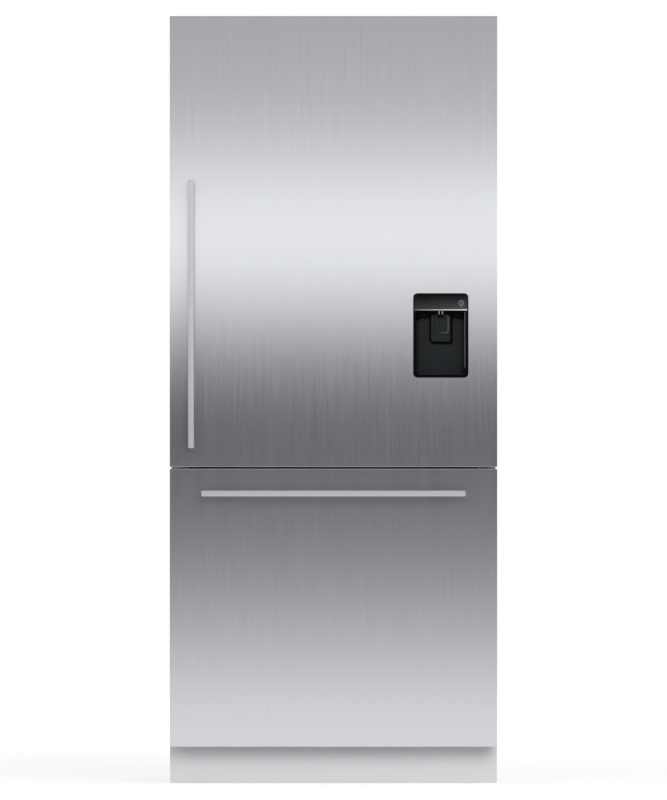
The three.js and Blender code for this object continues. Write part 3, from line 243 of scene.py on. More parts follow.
def tube(axis, centre, radii, run, edge, steps=2, sides=48):
    """A ring about an axis between two radii."""
    return turned(axis, centre, rounded(run, radii, edge, steps)[:, ::-1], sides, ring=True)


def box8(x, y, z):
    """A plain box of eight corners, for what is repeated by the dozen."""
    corners = [(x[i], y[j], z[k]) for k in (0, 1) for i, j in ((0, 0), (1, 0), (1, 1), (0, 1))]
    return outward(corners, [np.array([(0, 3, 2, 1), (4, 5, 6, 7), (0, 1, 5, 4), (1, 2, 6, 5), (2, 3, 7, 6),
                                       (3, 0, 4, 7)])])


def repeat(shape, offsets):
    """A copy of a shape at each (x, y, z) offset."""
    points, faces = shape
    offsets = np.asarray(offsets, float).reshape(-1, 3)
    step = (np.arange(len(offsets)) * len(points))[:, None, None]
    return ((points[None] + offsets[:, None]).reshape(-1, 3),
            [(face[None] + step).reshape(-1, face.shape[1]) for face in faces])


def along(axis, values, start=(0, 0, 0)):
    """Offsets spread along one axis."""
    offsets = np.tile(np.asarray(start, float), (len(values), 1))
    offsets[:, "xyz".index(axis)] += values
    return offsets


def join(*shapes):
    """Several shapes as one."""
    starts = np.cumsum([0] + [len(points) for points, _ in shapes])
    return (np.concatenate([points for points, _ in shapes]),
            [face + start for (_, faces), start in zip(shapes, starts) for face in faces])


def moved(shape, *by):
    return shape[0] + np.asarray(by, float), shape[1]


def rotated(shape, axis, degrees, centre=(0, 0, 0)):
    """A shape turned about an axis through a centre, by the right-hand rule."""
    i = "xyz".index(axis)
    j, k = (i + 1) % 3, (i + 2) % 3
    points = shape[0] - np.asarray(centre, float)
    cos, sin = math.cos(math.radians(degrees)), math.sin(math.radians(degrees))
    out = points.copy()
    out[:, j], out[:, k] = cos * points[:, j] - sin * points[:, k], sin * points[:, j] + cos * points[:, k]
    return out + np.asarray(centre, float), shape[1]


def mirrored(shape):
    """The left-hand twin of a shape: x becomes -x and each face is turned over."""
    return shape[0] * (-1, 1, 1), [face[:, ::-1] for face in shape[1]]


def screws(axis, places, outwards=1, radius=4.0, head=2.2):
    """Pan head screws with a round socket; places are points on the surface they sit on."""
    profile = np.array([(radius, 0), (radius, 0.5 * head), (0.72 * radius, 0.9 * head), (0.45 * radius, head),
                        (0.4 * radius, 0.45 * head), (0.1 * radius, 0.4 * head)])
    profile[:, 1] *= outwards
    return repeat(turned(axis, (0, 0), profile, 12), places)


def span(node):
    """A CAD node's ranges along x, y and z, in millimetres."""
    low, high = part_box(node)
    return [(low[i] * 1000, high[i] * 1000) for i in range(3)]


def within(run, *insets):
    """A range made smaller by one inset, or by one at each end."""
    return run[0] + insets[0], run[1] - insets[-1]


def thread(radius, depth, start, pitch, count):
    """Points of a screw thread's outline: the radius alternates from crest to root."""
    return [(radius - depth * (i % 2), start + pitch * i) for i in range(count)]


def both_ends(half, low, high):
    """A (radius, height) outline from its first half, given by distances from the ends of a run."""
    return [(r, low + at) for r, at in half] + [(r, high - at) for r, at in reversed(half)]


def opening(node, clearance):
    """The rectangle (x0, x1, z0, z1) that a sheet leaves open round a node."""
    x, _, z = span(node)
    return (*within(x, -clearance), *within(z, -clearance))


def pivot(name):
    """The point that a joint turns about, in millimetres."""
    return [1000 * place for joint in frame["joints"] if joint["name"] == name for place in joint["pos_m"]]


# ---------------------------------------------------------------- finishes

# Material slot, base colour (a name in the sidebar or three numbers), roughness, metallic, grain (patterns per metre,
# one number or one for each axis), how far colour and roughness wander, the bump's height in metres and its grain
FINISHES = {
    "brushed_steel": ("stainless", "steel", 0.23, 0.88, (1400, 400, 6), 0.035, 0.035, 2e-6, (2600, 900, 14)),
    "handle_steel": ("handle_stainless", "handle", 0.38, 0.28, 500, 0.03, 0.05, 4e-6, 2500),
    "toe_steel": ("toe_stainless", "toe", 0.50, 0.0, (8, 400, 1200), 0.03, 0.05, 3e-6, (14, 900, 2400)),
    "case_paint": ("case_paint", "case", 0.46, 0.15, 60, 0.012, 0.03, 6e-5, 520),
    "galvanised": ("galvanised", "zinc", 0.46, 0.55, 95, 0.06, 0.035, 1e-5, 200),
    "bracket_zinc": ("bracket_steel", "bracket", 0.32, 0.9, 90, 0.05, 0.07, 5e-6, 900),
    "liner_white": ("liner_white", "liner", 0.34, 0, 45, 0.006, 0.015, 1e-5, 420),
    "trim_white": ("liner_white", "liner", 0.26, 0, 60, 0.008, 0.02, 6e-6, 700),
    "clear_plastic": ("clear_plastic", "clear", 0.06, 0, 20, 0.01, 0.03),
    "frosted_plastic": ("frosted_plastic", "frosted", 0.38, 0, 60, 0.01, 0.03, 6e-6, 900),
    "shelf_glass": ("shelf_glass", "glass", 0.03, 0, 10, 0.01, 0.01),
    "lamp_cover": ("lamp_cover", (0.92, 0.95, 0.97), 0.35, 0, (300, 20, 20), 0.03, 0.05),
    "grey_rubber": ("grey_rubber", "gasket", 0.62, 0, 90, 0.08, 0.06, 2e-5, 1200),
    "black_rubber": ("black_rubber", "rubber", 0.75, 0, 150, 0.15, 0.08, 4e-5, 1500),
    "black_gloss": ("black_gloss", "gloss", 0.16, 0, 30, 0.1, 0.03),
    "black_satin": ("black_satin", "satin", 0.36, 0, 120, 0.1, 0.05, 6e-6, 1800),
    # deep_black is the bezel's and the nozzle's own black; on the cowl blocks and the plate behind the lever it is
    # painted shade
    "deep_black": ("black_satin", (0.0022, 0.0024, 0.0027), 0.5, 0, 150, 0.1, 0.05, 6e-6, 1500),
    # a grey that stands for a highlight on the recess's right wall: a painted highlight
    "guide_grey": ("black_satin", (0.055, 0.058, 0.061), 0.35, 0, 90, 0.05, 0.04),
    "prong_steel": ("black_satin", (0.30, 0.31, 0.32), 0.4, 0.3),
    "paddle_black": ("black_gloss", (0.009, 0.0115, 0.0125), 0.30, 0, 90, 0.08, 0.04, 4e-6, 1600),
    # a lighter grey than the pad, which with its fade is a painted highlight on the pad's bead
    "paddle_rim": ("black_gloss", (0.05, 0.053, 0.056), 0.22, 0, 90, 0.06, 0.04),
    "black_enamel": ("black_enamel", "enamel", 0.22, 0, 40, 0.15, 0.08, 6e-5, 160),
    "grey_plastic": ("grey_plastic", "plastic", 0.50, 0, 80, 0.06, 0.06, 3e-5, 900),
    "ice_plastic": ("grey_plastic", (0.62, 0.64, 0.66), 0.4, 0, 50, 0.03, 0.05, 2e-5, 700),
    "fan_plastic": ("fan_plastic", "blades", 0.42, 0, 80, 0.12, 0.06, 2e-5, 900),
    "fin_aluminium": ("fin_aluminium", "aluminium", 0.28, 1.0, (30, 200, 200), 0.05, 0.06),
    "copper": ("bracket_steel", "copper", 0.30, 1.0, 45, 0.14, 0.08),
    "chrome": ("handle_stainless", (0.86, 0.87, 0.88), 0.24, 0.55, (9, 9, 300), 0.04, 0.03),
    "foam": ("foam", "foam", 0.9, 0, 120, 0.12, 0.05, 4e-4, 260),
    "pale_print": ("black_gloss", (0.15, 0.155, 0.16), 0.5, 0, 400, 0.04, 0.03),
}
SOCKETS = {
    "clear_plastic": {"Transmission Weight": 1.0, "IOR": 1.3},
    "frosted_plastic": {"Transmission Weight": 0.45, "IOR": 1.3},
    "shelf_glass": {"Transmission Weight": 1.0, "IOR": 1.45},
    "lamp_cover": {"Emission Color": (0.95, 0.98, 1, 1), "Emission Strength": 0.6},
    "black_gloss": {"Specular IOR Level": 0.42},
    "black_satin": {"Specular IOR Level": 0.2},
    "deep_black": {"Specular IOR Level": 0.05},
    "paddle_black": {"Specular IOR Level": 0.22},
    "paddle_rim": {"Specular IOR Level": 0.5},
    "black_enamel": {"Coat Weight": 0.5, "Coat Roughness": 0.15},
}
# How a colour changes across a piece: (axis, run in metres, shares of the colour at the run's two ends), all painted
# light: the fascia's glass is painted darker at the left and at the top, a painted reflection; the trim is painted
# darker towards the left and the pad's bead brighter towards the right, both painted highlights.
PAINTED_LIGHT_FADES = {
    "black_gloss": (("X", (0.225, 0.370), (0.35, 2.6)), ("Z", (1.318, 1.357), (1.9, 0.05))),
    "chrome": (("X", (0.222, 0.372), (0.16, 0.95)),),
    "paddle_rim": (("X", (0.284, 0.318), (0.25, 2.2)),),
}


def fill(tree, node, inputs):
    """Sets or links a node's inputs; a node given as a value stands for the first output that it uses."""
    for label, value in inputs.items():
        if isinstance(value, bpy.types.Node):
            value = next(output for output in value.outputs if output.enabled)
        if isinstance(value, bpy.types.NodeSocket):
            tree.links.new(value, node.inputs[label])
        else:
            node.inputs[label].default_value = value


def add(tree, kind, inputs=None, **settings):
    """A new node with its inputs filled."""
    node = tree.nodes.new("ShaderNode" + kind)
    for label, value in settings.items():
        setattr(node, label, value)
    fill(tree, node, inputs or {})
    return node


def remap(tree, value, before, after=(0, 1)):
    """A value carried from one range to another."""
    labels = ("From Min", "From Max", "To Min", "To Max")
    return add(tree, "MapRange", {"Value": value, **dict(zip(labels, (*before, *after)))})


def ramp(tree, value, stops, interpolation="LINEAR"):
    """A colour ramp through (position, colour) stops."""
    node = add(tree, "ValToRGB", {"Fac": value})
    node.color_ramp.interpolation = interpolation
    elements = node.color_ramp.elements
    while len(elements) < len(stops):
        elements.new(0.5)
    for element, (position, _) in zip(elements, stops):
        element.position = position
    for element, (_, tint) in zip(elements, stops):
        element.color = (*tint, 1)
    return node


def finish(name):
    """A Principled material from the tables, made once.

    Colour and roughness follow a noise on object coordinates, or Voronoi cells on the zinc, whose spangles each have
    their own tone and gloss; the bump has a finer noise of its own.
    """
    key = name + "_finish"
    if key in bpy.data.materials:
        return bpy.data.materials[key]
    defaults = (60, 0.05, 0.05, 0.0, 500)  # grain, tone, spread, relief, relief grain
    _, base, roughness, metallic, *rest = FINISHES[name]
    grain, tone, spread, relief, relief_grain = (*rest, *defaults[len(rest):])
    base = getattr(colours(), base) if isinstance(base, str) else base
    material = bpy.data.materials.new(key)
    material.use_nodes = True
    tree = material.node_tree
    place = add(tree, "TexCoord").outputs["Object"]

    def pattern(kind, size, detail):
        mapping = add(tree, "Mapping", {"Vector": place, "Scale": np.broadcast_to(size, 3)})
        return add(tree, "Tex" + kind, {"Vector": mapping, "Scale": 1.0, "Detail": detail})

    noise = pattern("Voronoi", grain, 0).outputs["Color"] if name == "galvanised" else pattern("Noise", grain, 3)
    middle = (0.3, 0.7)  # where the noise lies
    shades = [[min(1.0, channel * share) for channel in base] for share in (1 - tone, 1 + tone)]
    tint = ramp(tree, noise, list(zip(middle, shades)))
    # the fades paint light into the colour: a painted reflection on the fascia, painted highlights on the trim and the
    # pad's bead
    if name in PAINTED_LIGHT_FADES:
        split = add(tree, "SeparateXYZ", {"Vector": place}).outputs
        for axis, run, shares in PAINTED_LIGHT_FADES[name]:
            share = remap(tree, split[axis], run, shares)
            tint = add(tree, "VectorMath", {0: tint, 1: share}, operation="MULTIPLY")
    gloss = remap(tree, noise, middle, (max(0.02, roughness - spread), min(1.0, roughness + spread)))
    inputs = {"Base Color": tint, "Roughness": gloss, "Metallic": metallic, **SOCKETS.get(name, {})}
    if relief:
        inputs["Normal"] = add(tree, "Bump", {"Distance": relief, "Height": pattern("Noise", relief_grain, 2)})
    fill(tree, tree.nodes["Principled BSDF"], inputs)
    return material


# ---------------------------------------------------------------- pieces

CREASE = math.radians(35)  # edges that turn by more stay sharp
BODY_OF = {node: body for body, nodes in frame["record"]["behaviour"]["bodies"].items() for node in nodes}


def make(name, shape, material, flat=False):
    """An object in the scene from a shape in millimetres."""
    points, faces = shape
    mesh = bpy.data.meshes.new(name)
    mesh.from_pydata(points * 0.001, [], [corners for face in faces for corners in face.tolist()], shade_flat=flat)
    mesh.materials.append(material)
    made = bpy.data.objects.new(name, mesh)
    bpy.context.scene.collection.objects.link(made)
    return made


def piece(name, look, shape, *replaced, body=None, slot=None):
    """Dresses a body: by default the one of the CAD nodes that the piece replaces, or the cabinet."""
    made = make(name, shape, finish(look))
    made.data.set_sharp_from_angle(angle=CREASE)
    made.modifiers.new("Even shading", "WEIGHTED_NORMAL").keep_sharp = True
    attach(made, body or (BODY_OF[replaced[0]] if replaced else "cabinet"))
    if replaced:
        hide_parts(*replaced)


def dress(node, look):
    """A CAD node whose shape is right keeps its mesh and gets a better finish."""
    mesh = frame["nodes"][node].data
    mesh.materials.clear()
    mesh.materials.append(finish(look))


# ---------------------------------------------------------------- stage

IMAGE_SIZE = (667, 800)
PIXEL = 0.002770  # metres of the front face that one pixel of the photograph spans
LENS, SENSOR = 500.0, 36.0
AIM_HEIGHT = 1.0645
CYCLORAMA = 1.7  # radius in metres
# brightness of the studio round the object by height: dark at the middle of the drop, a soft box above it
STUDIO_BY_HEIGHT = (
    (0.00, 1.23), (0.15, 1.17), (0.30, 0.83), (0.45, 0.52), (0.60, 0.29), (0.75, 0.135), (0.92, 0.04), (1.05, 0.045),
    (1.20, 0.375), (1.38, 1.18), (1.53, 1.56), (1.70, 1.22), (1.85, 0.74), (2.03, 0.585), (2.25, 0.53), (3.00, 0.53))
STUDIO_BY_SIDE = ((0.0, 1.0), (0.18, 0.9), (0.30, 1.0), (0.70, 1.0), (0.84, 0.95), (1.0, 1.25))
STUDIO_PEAK = 1.65  # the ramps hold shares of this
KEY = {"place": (2.6, -6.2, 3.9), "size": 5.0, "power": 240}
FILL = {"place": (-3.5, -5.0, 3.0), "size": 3.0, "power": 40}
LAMP_AIM = (0, 0, 1.0)
WORLD_COLOUR = (0.455, 0.46, 0.465, 1)
FLOOR_REACH, FLOOR_THICKNESS = 9000, 20  # millimetres
FLOOR_GLOW = ((1.2, 5.0), (0.76, 0.90))  # distance from the object in metres, emission seen there


def bare_material(name):
    material = bpy.data.materials.new(name)
    material.use_nodes = True
    material.node_tree.nodes.clear()
    return material, material.node_tree


def studio_light_material():
    """Emission by height times a factor across, read from object coordinates."""
    material, tree = bare_material("studio_surround")
    place = add(tree, "SeparateXYZ", {"Vector": add(tree, "TexCoord").outputs["Object"]}).outputs
    top = STUDIO_BY_HEIGHT[-1][0]
    by_height = [(height / top, grey) for height, grey in STUDIO_BY_HEIGHT]
    shares = [
        ramp(tree, remap(tree, place[axis], run), [(at, [grey / STUDIO_PEAK] * 3) for at, grey in stops], "CARDINAL")
        for axis, run, stops in (("Z", (0, top), by_height), ("X", (-CYCLORAMA, CYCLORAMA), STUDIO_BY_SIDE))]
    tint = add(tree, "VectorMath", dict(enumerate(shares)), operation="MULTIPLY")
    light = add(tree, "Emission", {"Color": tint, "Strength": STUDIO_PEAK ** 2})
    add(tree, "OutputMaterial", {"Surface": light})
    return material


def seen_directly(tree, *kinds):
    """1 for camera rays and the kinds of ray named, 0 for diffuse light."""
    rays = add(tree, "LightPath").outputs
    total = rays["Is Camera Ray"]
    for kind in kinds:
        total = add(tree, "Math", {0: total, 1: rays[f"Is {kind} Ray"]}, operation="MAXIMUM")
    return total


def floor_material():
    """White where it is seen; a diffuse share takes the lamps' shadow, and the emission grows away from the object."""
    material, tree = bare_material("studio_floor")
    plain, share = (add(tree, "BsdfDiffuse", {"Color": (grey, grey, grey, 1)}) for grey in (0.8, 0.36))
    distance = add(tree, "VectorMath", {0: add(tree, "TexCoord").outputs["Object"]}, operation="LENGTH")
    white = add(tree, "Emission", {"Strength": remap(tree, distance, *FLOOR_GLOW)})
    shown = add(tree, "AddShader", {0: share, 1: white})
    mix = add(tree, "MixShader", {0: seen_directly(tree, "Glossy", "Transmission"), 1: plain, 2: shown})
    add(tree, "OutputMaterial", {"Surface": mix})
    return material


def studio_world():
    """A plain level of light; what is seen directly or through glass is white."""
    world = bpy.data.worlds.new("studio")
    world.use_nodes = True
    tree = world.node_tree
    plain, white = tree.nodes["Background"], add(tree, "Background", {"Color": (1, 1, 1, 1)})
    fill(tree, plain, {"Color": WORLD_COLOUR})
    mix = add(tree, "MixShader", {0: seen_directly(tree, "Transmission"), 1: plain, 2: white})
    fill(tree, tree.nodes["World Output"], {"Surface": mix})
    return world


def area_lamp(name, place, size, power):
    """A round lamp aimed at the object, left out of reflections."""
    light = bpy.data.lights.new(name, "AREA")
    light.shape, light.size, light.energy = "DISK", size, power
    made = bpy.data.objects.new(name, light)
    made.location = place
    x, y, z = np.subtract(LAMP_AIM, place)
    made.rotation_euler = (math.atan2(math.hypot(x, y), -z), 0, math.atan2(-x, y))
    made.visible_glossy = False
    bpy.context.scene.collection.objects.link(made)


class RefrigeratorStage(bpy.types.Operator):
    """Camera, floor, surround, lamps and world"""
    bl_idname = "refrigerator.stage"
    bl_label = "Stage"

    def execute(self, context):
        scene = context.scene
        scene.view_settings.view_transform = "Standard"
        camera = bpy.data.cameras.new("camera")
        camera.lens, camera.sensor_width, camera.clip_end = LENS, SENSOR, 200
        scene.camera = bpy.data.objects.new("camera", camera)
        front, reach = span("door_panel")[1][0] / 1000, IMAGE_SIZE[1] * PIXEL * LENS / SENSOR
        scene.camera.location = (0, front - reach, AIM_HEIGHT)
        scene.camera.rotation_euler = (math.pi / 2, 0, 0)
        scene.collection.objects.link(scene.camera)

        drum = stretched(circle(1000 * CYCLORAMA, 96), "z", (0, 1000 * STUDIO_BY_HEIGHT[-1][0]), ends=False)
        surround = make("surround", drum, studio_light_material(), flat=True)
        for ray in ("camera", "diffuse", "transmission", "volume_scatter", "shadow"):
            setattr(surround, "visible_" + ray, False)
        field = (-FLOOR_REACH, FLOOR_REACH)
        floor = make("floor", box8(field, field, (-FLOOR_THICKNESS, 0)), floor_material(), flat=True)
        area_lamp("key", **KEY)
        area_lamp("fill", **FILL)
        scene.world = studio_world()
        return {"FINISHED"}


# ---------------------------------------------------------------- steel fronts


def folded_panel(node, hole=None):
    """A sheet folded back on four sides with return lips: (inset, y) profile round the panel's outline."""
    x, (front, back), z = span(node)
    fold, gauge, lip, cover = sizes().fold * 1000, sizes().sheet * 1000, 15, 18
    profile = soften(
        [(cover, front), (0, front), (0, back), (lip, back), (lip, back - gauge), (gauge, back - gauge),
         (gauge, front + gauge), (cover, front + gauge)], [0, fold, fold, 0.3, 0.3, 0.6, 0.6, 0], 4)
    loops = hoops("y", (*x, *z), 2.2, profile)
    if hole is None:
        return skin(loops)
    mouth = hoops("y", *hole, [(0, front + gauge), (0, front + 0.3), (-0.3, front)])
    return skin(np.concatenate([loops, mouth]), ring=True)


def toe_kick():
    x, (face, back), (low, top) = span("toe_kick")
    gauge = 1.2
    section = closed([(face, low), (face, top), (face + 14, top), (face + 14, top - gauge),
                      (face + gauge, top - gauge), (face + gauge, low + gauge), (face + 10, low + gauge),
                      (face + 10, low)], [0.3, 1.5, 0.3, 0.3, 0.4, 0.4, 0.3, 0.3])
    clips = repeat(block((-15, 15), (face + 0.8, back), (56, 86), 0.6), along("x", [-300, 300]))
    piece("toe_kick_steel", "toe_steel", join(stretched(section, "x", x), clips), "toe_kick")


class RefrigeratorPanels(bpy.types.Operator):
    """Folded steel panels of the door and the drawer, and the toe kick"""
    bl_idname = "refrigerator.panels"
    bl_label = "Steel panels"

    def execute(self, context):
        hole = (opening("dispenser_housing", 0.3), 11.8)
        piece("door_steel", "brushed_steel", folded_panel("door_panel", hole), "door_panel")
        piece("drawer_steel", "brushed_steel", folded_panel("drawer_panel"), "drawer_panel")
        toe_kick()
        return {"FINISHED"}


def handle_bar(start, stop, width, depth):
    """A bar's section (side, rise) carried along it, drawn in a little at each end."""
    crown, half = sizes().bar_ridge * 1000, width / 2
    section = closed([(-half, 0), (half, 0), (half, depth - crown), (half * 0.05, depth),
                      (-half, depth - 0.35 * crown)], [0.8, 0.8, 1.6, 1.0, 1.6], 4)
    t, drawn = np.array([(0, 2.4), (0.25, 1.5), (0.9, 0.6), (2.0, 0.12), (3.4, 0)]).T
    reach, middle = math.dist(start, stop), np.array([0, depth / 2])
    t, drawn = np.concatenate([t, reach - t[::-1]]), np.concatenate([drawn, drawn[::-1]])
    sections = middle + (section - middle) * (1 - drawn / half)[:, None, None]
    return carry(start + np.subtract(stop, start) * (t / reach)[:, None], sections, (0, -1, 0))


def handle_foot(x, y, z):
    """A foot with a waist: the inset is 1.3 sin(pi t)^0.6 mm from the panel to the bar."""
    t = np.linspace(0, 1, 13)
    profile = np.stack([1.3 * np.sin(math.pi * t) ** 0.6, y[1] + (y[0] - y[1]) * t], -1)
    return around("y", (*x, *z), 3.2, profile, arc=5)


class RefrigeratorHandles(bpy.types.Operator):
    """Both bar handles with their feet"""
    bl_idname = "refrigerator.handles"
    bl_label = "Handles"

    def execute(self, context):
        for name, feet in (("door_handle", ("upper", "lower")), ("drawer_handle", ("left", "right"))):
            x, y, z = span(name + "_bar")
            ends, width = [(sum(x) / 2, y[1], at) for at in z], x[1] - x[0]
            if name == "drawer_handle":
                ends, width = [(at, y[1], sum(z) / 2) for at in x], z[1] - z[0]
            piece(name + "_grip", "handle_steel", handle_bar(*ends, width, y[1] - y[0]), name + "_bar")
            for node in (f"{name}_foot_{side}" for side in feet):
                piece(node + "_waisted", "handle_steel", handle_foot(*span(node)), node)
        return {"FINISHED"}


# ---------------------------------------------------------------- dispenser

# the dark top of the recess is painted shade: black blocks stand where the shade under the recess's ceiling falls
COWL_FOOT = 1312.0  # height at which the dark top of the recess meets the fascia's trim


def dispenser_housing():
    """Bezel and box as outlines from the back of the box round to the wall of the recess, and what lines it."""
    x, y, z = span("dispenser_housing")
    face, back, middle = y[0] + 0.5, y[1], sum(x) / 2
    outer = soften([(4, back), (1, back), (1, face + 4), (0, face + 3), (0, face), (3, face)], [0, 3, 0.2, 0.2, 1.4, 0])
    mouth = (*within(x, 5.2), z[0] + 4.8, COWL_FOOT - 1)
    inner = soften([(-1.5, face), (0, face), (3.4, face + 5), (6.6, back - 3), (9, back - 3)], [0, 1.0, 2, 5, 0], 4)
    loops = np.concatenate([hoops("y", (*x, *z), 11.5, outer), hoops("y", mouth, (2, 2, 8, 8), inner)])
    piece("dispenser_bezel", "deep_black", skin(loops), "dispenser_housing")
    # the recess's lining: back wall, with its upper corners rounded under the black blocks of painted shade at the top,
    # sill and jambs
    low, high, (left, right) = z[0] + 5.4, 1292.0, within(x, 6)
    wall = slab("y", (left + 5.6, right - 5.6, low + 4, high), (15, 15, 8, 8), (back - 5.0, back - 2.5), 0.8, arc=8)
    sill = block((left + 3, right - 3), (face + 4, back - 4), (low + 2.0, low + 4.6), 1.2, 5)
    jambs = [block((at, at + 1.6), (face + 3.6, back - 3.2), (low + 3, high - 6), 0.7, 3, "x")
             for at in (left + 1.4, right - 3.0)]
    piece("dispenser_lining", "black_satin", join(wall, sill, *jambs), body="door")
    # a grey strip down the recess's right wall, where a highlight falls: a painted highlight
    highlight_strip = block((right - 5.2, right - 1.0), (face + 2.2, face + 6.4), (low + 22, COWL_FOOT - 2.5), 1.8, 2)
    piece("dispenser_guide", "guide_grey", highlight_strip, body="door")
    # black blocks across the top of the recess stand in for the shade under its ceiling: painted shade; the lugs carry
    # the paddle's pin
    shade_cowl = [block((middle + a, middle + b), (face + 20, back - 4), (foot, COWL_FOOT), edge, 5)
            for a, b, foot, edge in ((-30, 31, 1300, 2.0), (-66, -31.5, 1293, 2.5), (33, 66, 1293, 2.5))]
    lugs = repeat(block((-2, 2), (-4.4, 4.4), (-7, 12), 1.2, 2),
                  along("x", [-33.4, 33.4], (middle, *pivot("dispenser_paddle_hinge")[1:])))
    piece("dispenser_cowl", "deep_black", join(*shade_cowl, lugs), body="door")
    # a black plate behind the lever, reaching further right and down than it, stands in for the lever's cast shadow: a
    # painted shadow
    lever_shadow = slab("y", (middle - 31, middle + 33.5, 1218.5, 1294), (2, 2, 15, 2.5), (back - 5.45, back - 4.0), 0.3)
    piece("dispenser_splash", "deep_black", lever_shadow, body="door")
    # drain grille at the foot of the recess
    tray = block((middle - 58, middle + 58), (face + 8, back - 8), (low + 4.2, low + 5.6), 0.5, 5)
    grille = repeat(block((-1.1, 1.1), (face + 11, back - 10), (low + 5.0, low + 6.6), 0.5),
                    along("x", np.linspace(-52, 52, 19), (middle, 0, 0)))
    piece("dispenser_drain", "black_satin", join(tray, grille), body="door")


def bowed(height):
    """How far forward the fascia's glass lies at a height: 0.3 mm back at its foot, 1.7 forward at its head."""
    low, high = span("dispenser_fascia")[2]
    return span("dispenser_fascia")[1][0] + 0.3 - 2.0 * np.clip((height - low) / (high - low), 0, 1) ** 2


def bowed_glass(x, y, z, corner=9, edge=0.6, rows=16):
    """A plate with a bowed face: one outline (front, back) across x for each height, narrower at the upper corners."""
    bend = z[1] - corner
    arc = z[1] - corner * (1 - np.sin(np.radians([20, 40, 58, 74, 90])))
    height = np.concatenate([np.linspace(z[0], bend, rows), arc])
    inset = corner * (1 - np.sqrt(1 - np.clip((height - bend) / corner, 0, 1) ** 2))
    front, back, left, right = bowed(height), np.full(len(height), y[1]), x[0] + inset, x[1] - inset
    outline = [(left, back), (left, front + edge), (left + edge, front), (right - edge, front), (right, front + edge),
               (right, back)]
    return skin(np.stack([np.stack([*point, height], -1) for point in outline], 1))


def dispenser_fascia():
    """Bowed glass with its printed mark, and the bright trim under it."""
    x, y, z = span("dispenser_fascia")
    # the glass's colour is painted darker at the left and at the top and lighter at the lower right: a painted
    # reflection
    piece("dispenser_glass", "black_gloss", bowed_glass(x, y, z), "dispenser_fascia")
    # the trim is a half round bar, 4.7 mm high
    turn, (low, high) = np.linspace(0, math.pi, 9), (COWL_FOOT + 0.2, COWL_FOOT + 4.9)
    section = np.stack([y[0] + 1.4 - 1.9 * np.sin(turn), (low + high - (high - low) * np.cos(turn)) / 2], -1)
    # the trim's colour darkens towards the left and is bright at the right: a painted highlight
    piece("dispenser_trim", "chrome", stretched(section, "x", within(x, 0.6, 1.2)), body="door")
    # generic lamp mark: a ring with a bar in it over a short stem
    centre, thick = (353.6, 1333.4), (0, 0.4)
    mark = turned("y", centre, [(7.7, 0.4), (7.7, 0), (5.1, 0), (5.1, 0.4)], 32, ring=True)
    stem, bar = (block((centre[0] + a, centre[0] + b), thick, run, 0.1)
                 for a, b, run in ((-1.4, 1.4, (1321.0, 1326.4)), (-0.3, 1.7, (1329.4, 1337.4))))
    points, faces = join(mark, stem, bar)
    points[:, 1] += bowed(points[:, 2]) - 0.06
    piece("dispenser_mark", "pale_print", (points, faces), body="door")


def dispenser_nozzle():
    x, y, (low, high) = span("dispenser_spout")
    middle = sum(x) / 2
    tip = turned("z", (middle, sum(y) / 2), [(7.5, high - 4), (7.5, low + 2), (6.2, low + 0.2), (4.4, low),
                                             (4.2, low + 6), (1, low + 6)], 24)
    piece("dispenser_nozzle", "deep_black", join(block(x, y, (low + 6, high), 2.0, 5), tip), "dispenser_spout")
    prong = turned("z", (0, 0), [(1.9, COWL_FOOT), (1.9, 1303.2), (1.3, 1301.8), (0.4, 1301.6)], 16)
    prongs = repeat(prong, along("x", [-4.6, 4.6], (middle, y[0] - 4.3, 0)))
    piece("dispenser_prongs", "prong_steel", prongs, body="door")


def dispenser_paddle():
    """The lever on its barrel and pins, with a dished pad inside a raised bead."""
    x, _, z = span("dispenser_paddle")
    middle, (_, y, top) = sum(x) / 2, pivot("dispenser_paddle_hinge")
    plate = slab("y", (middle - 27, middle + 27, z[0] + 0.4, top), (3, 3, 8, 8), (y - 1.5, y + 1.5), 1.2, arc=6)
    barrel = turned("x", (y, top), [(3.0, middle - 30), (3.0, middle + 30)], 20)
    pins = turned("x", (y, top), [(1.4, x[0]), (1.5, x[0] + 1), (1.5, x[1] - 1), (1.4, x[1])], 12)
    piece("dispenser_lever", "paddle_black", join(plate, barrel, pins), "dispenser_paddle")
    pad_x, pad_z = (middle - 20, middle + 22), (1249.5, 1300)
    dish = slab("y", (*within(pad_x, 3), *within(pad_z, 3)), 5, (y - 2.6, y), 0.8, arc=6)
    piece("dispenser_pad", "paddle_black", dish, body="paddle")
    # the bead is a lighter grey than the pad and brightens towards the right: a painted highlight
    turn = np.linspace(0, math.pi, 7)
    bead = np.stack([1.5 - 1.5 * np.cos(turn), y - 1.4 - 2.1 * np.sin(turn)], -1)
    piece("dispenser_pad_bead", "paddle_rim", around("y", (*pad_x, *pad_z), 7.5, bead, ring=True, arc=8), body="paddle")


class RefrigeratorDispenser(bpy.types.Operator):
    """Water and ice dispenser in the door: housing, fascia, trim, nozzle and paddle"""
    bl_idname = "refrigerator.dispenser"
    bl_label = "Dispenser"

    def execute(self, context):
        dispenser_housing()
        dispenser_fascia()
        dispenser_nozzle()
        dispenser_paddle()
        return {"FINISHED"}


# ---------------------------------------------------------------- cabinet

FREEZER_STEP = (77.45, 345.0)  # the y and z at which the freezer's floor climbs over the machine compartment
LINER_WALL = 3.0
SHELVES = ("shelf_upper", "shelf_middle", "shelf_lower", "crisper_cover")


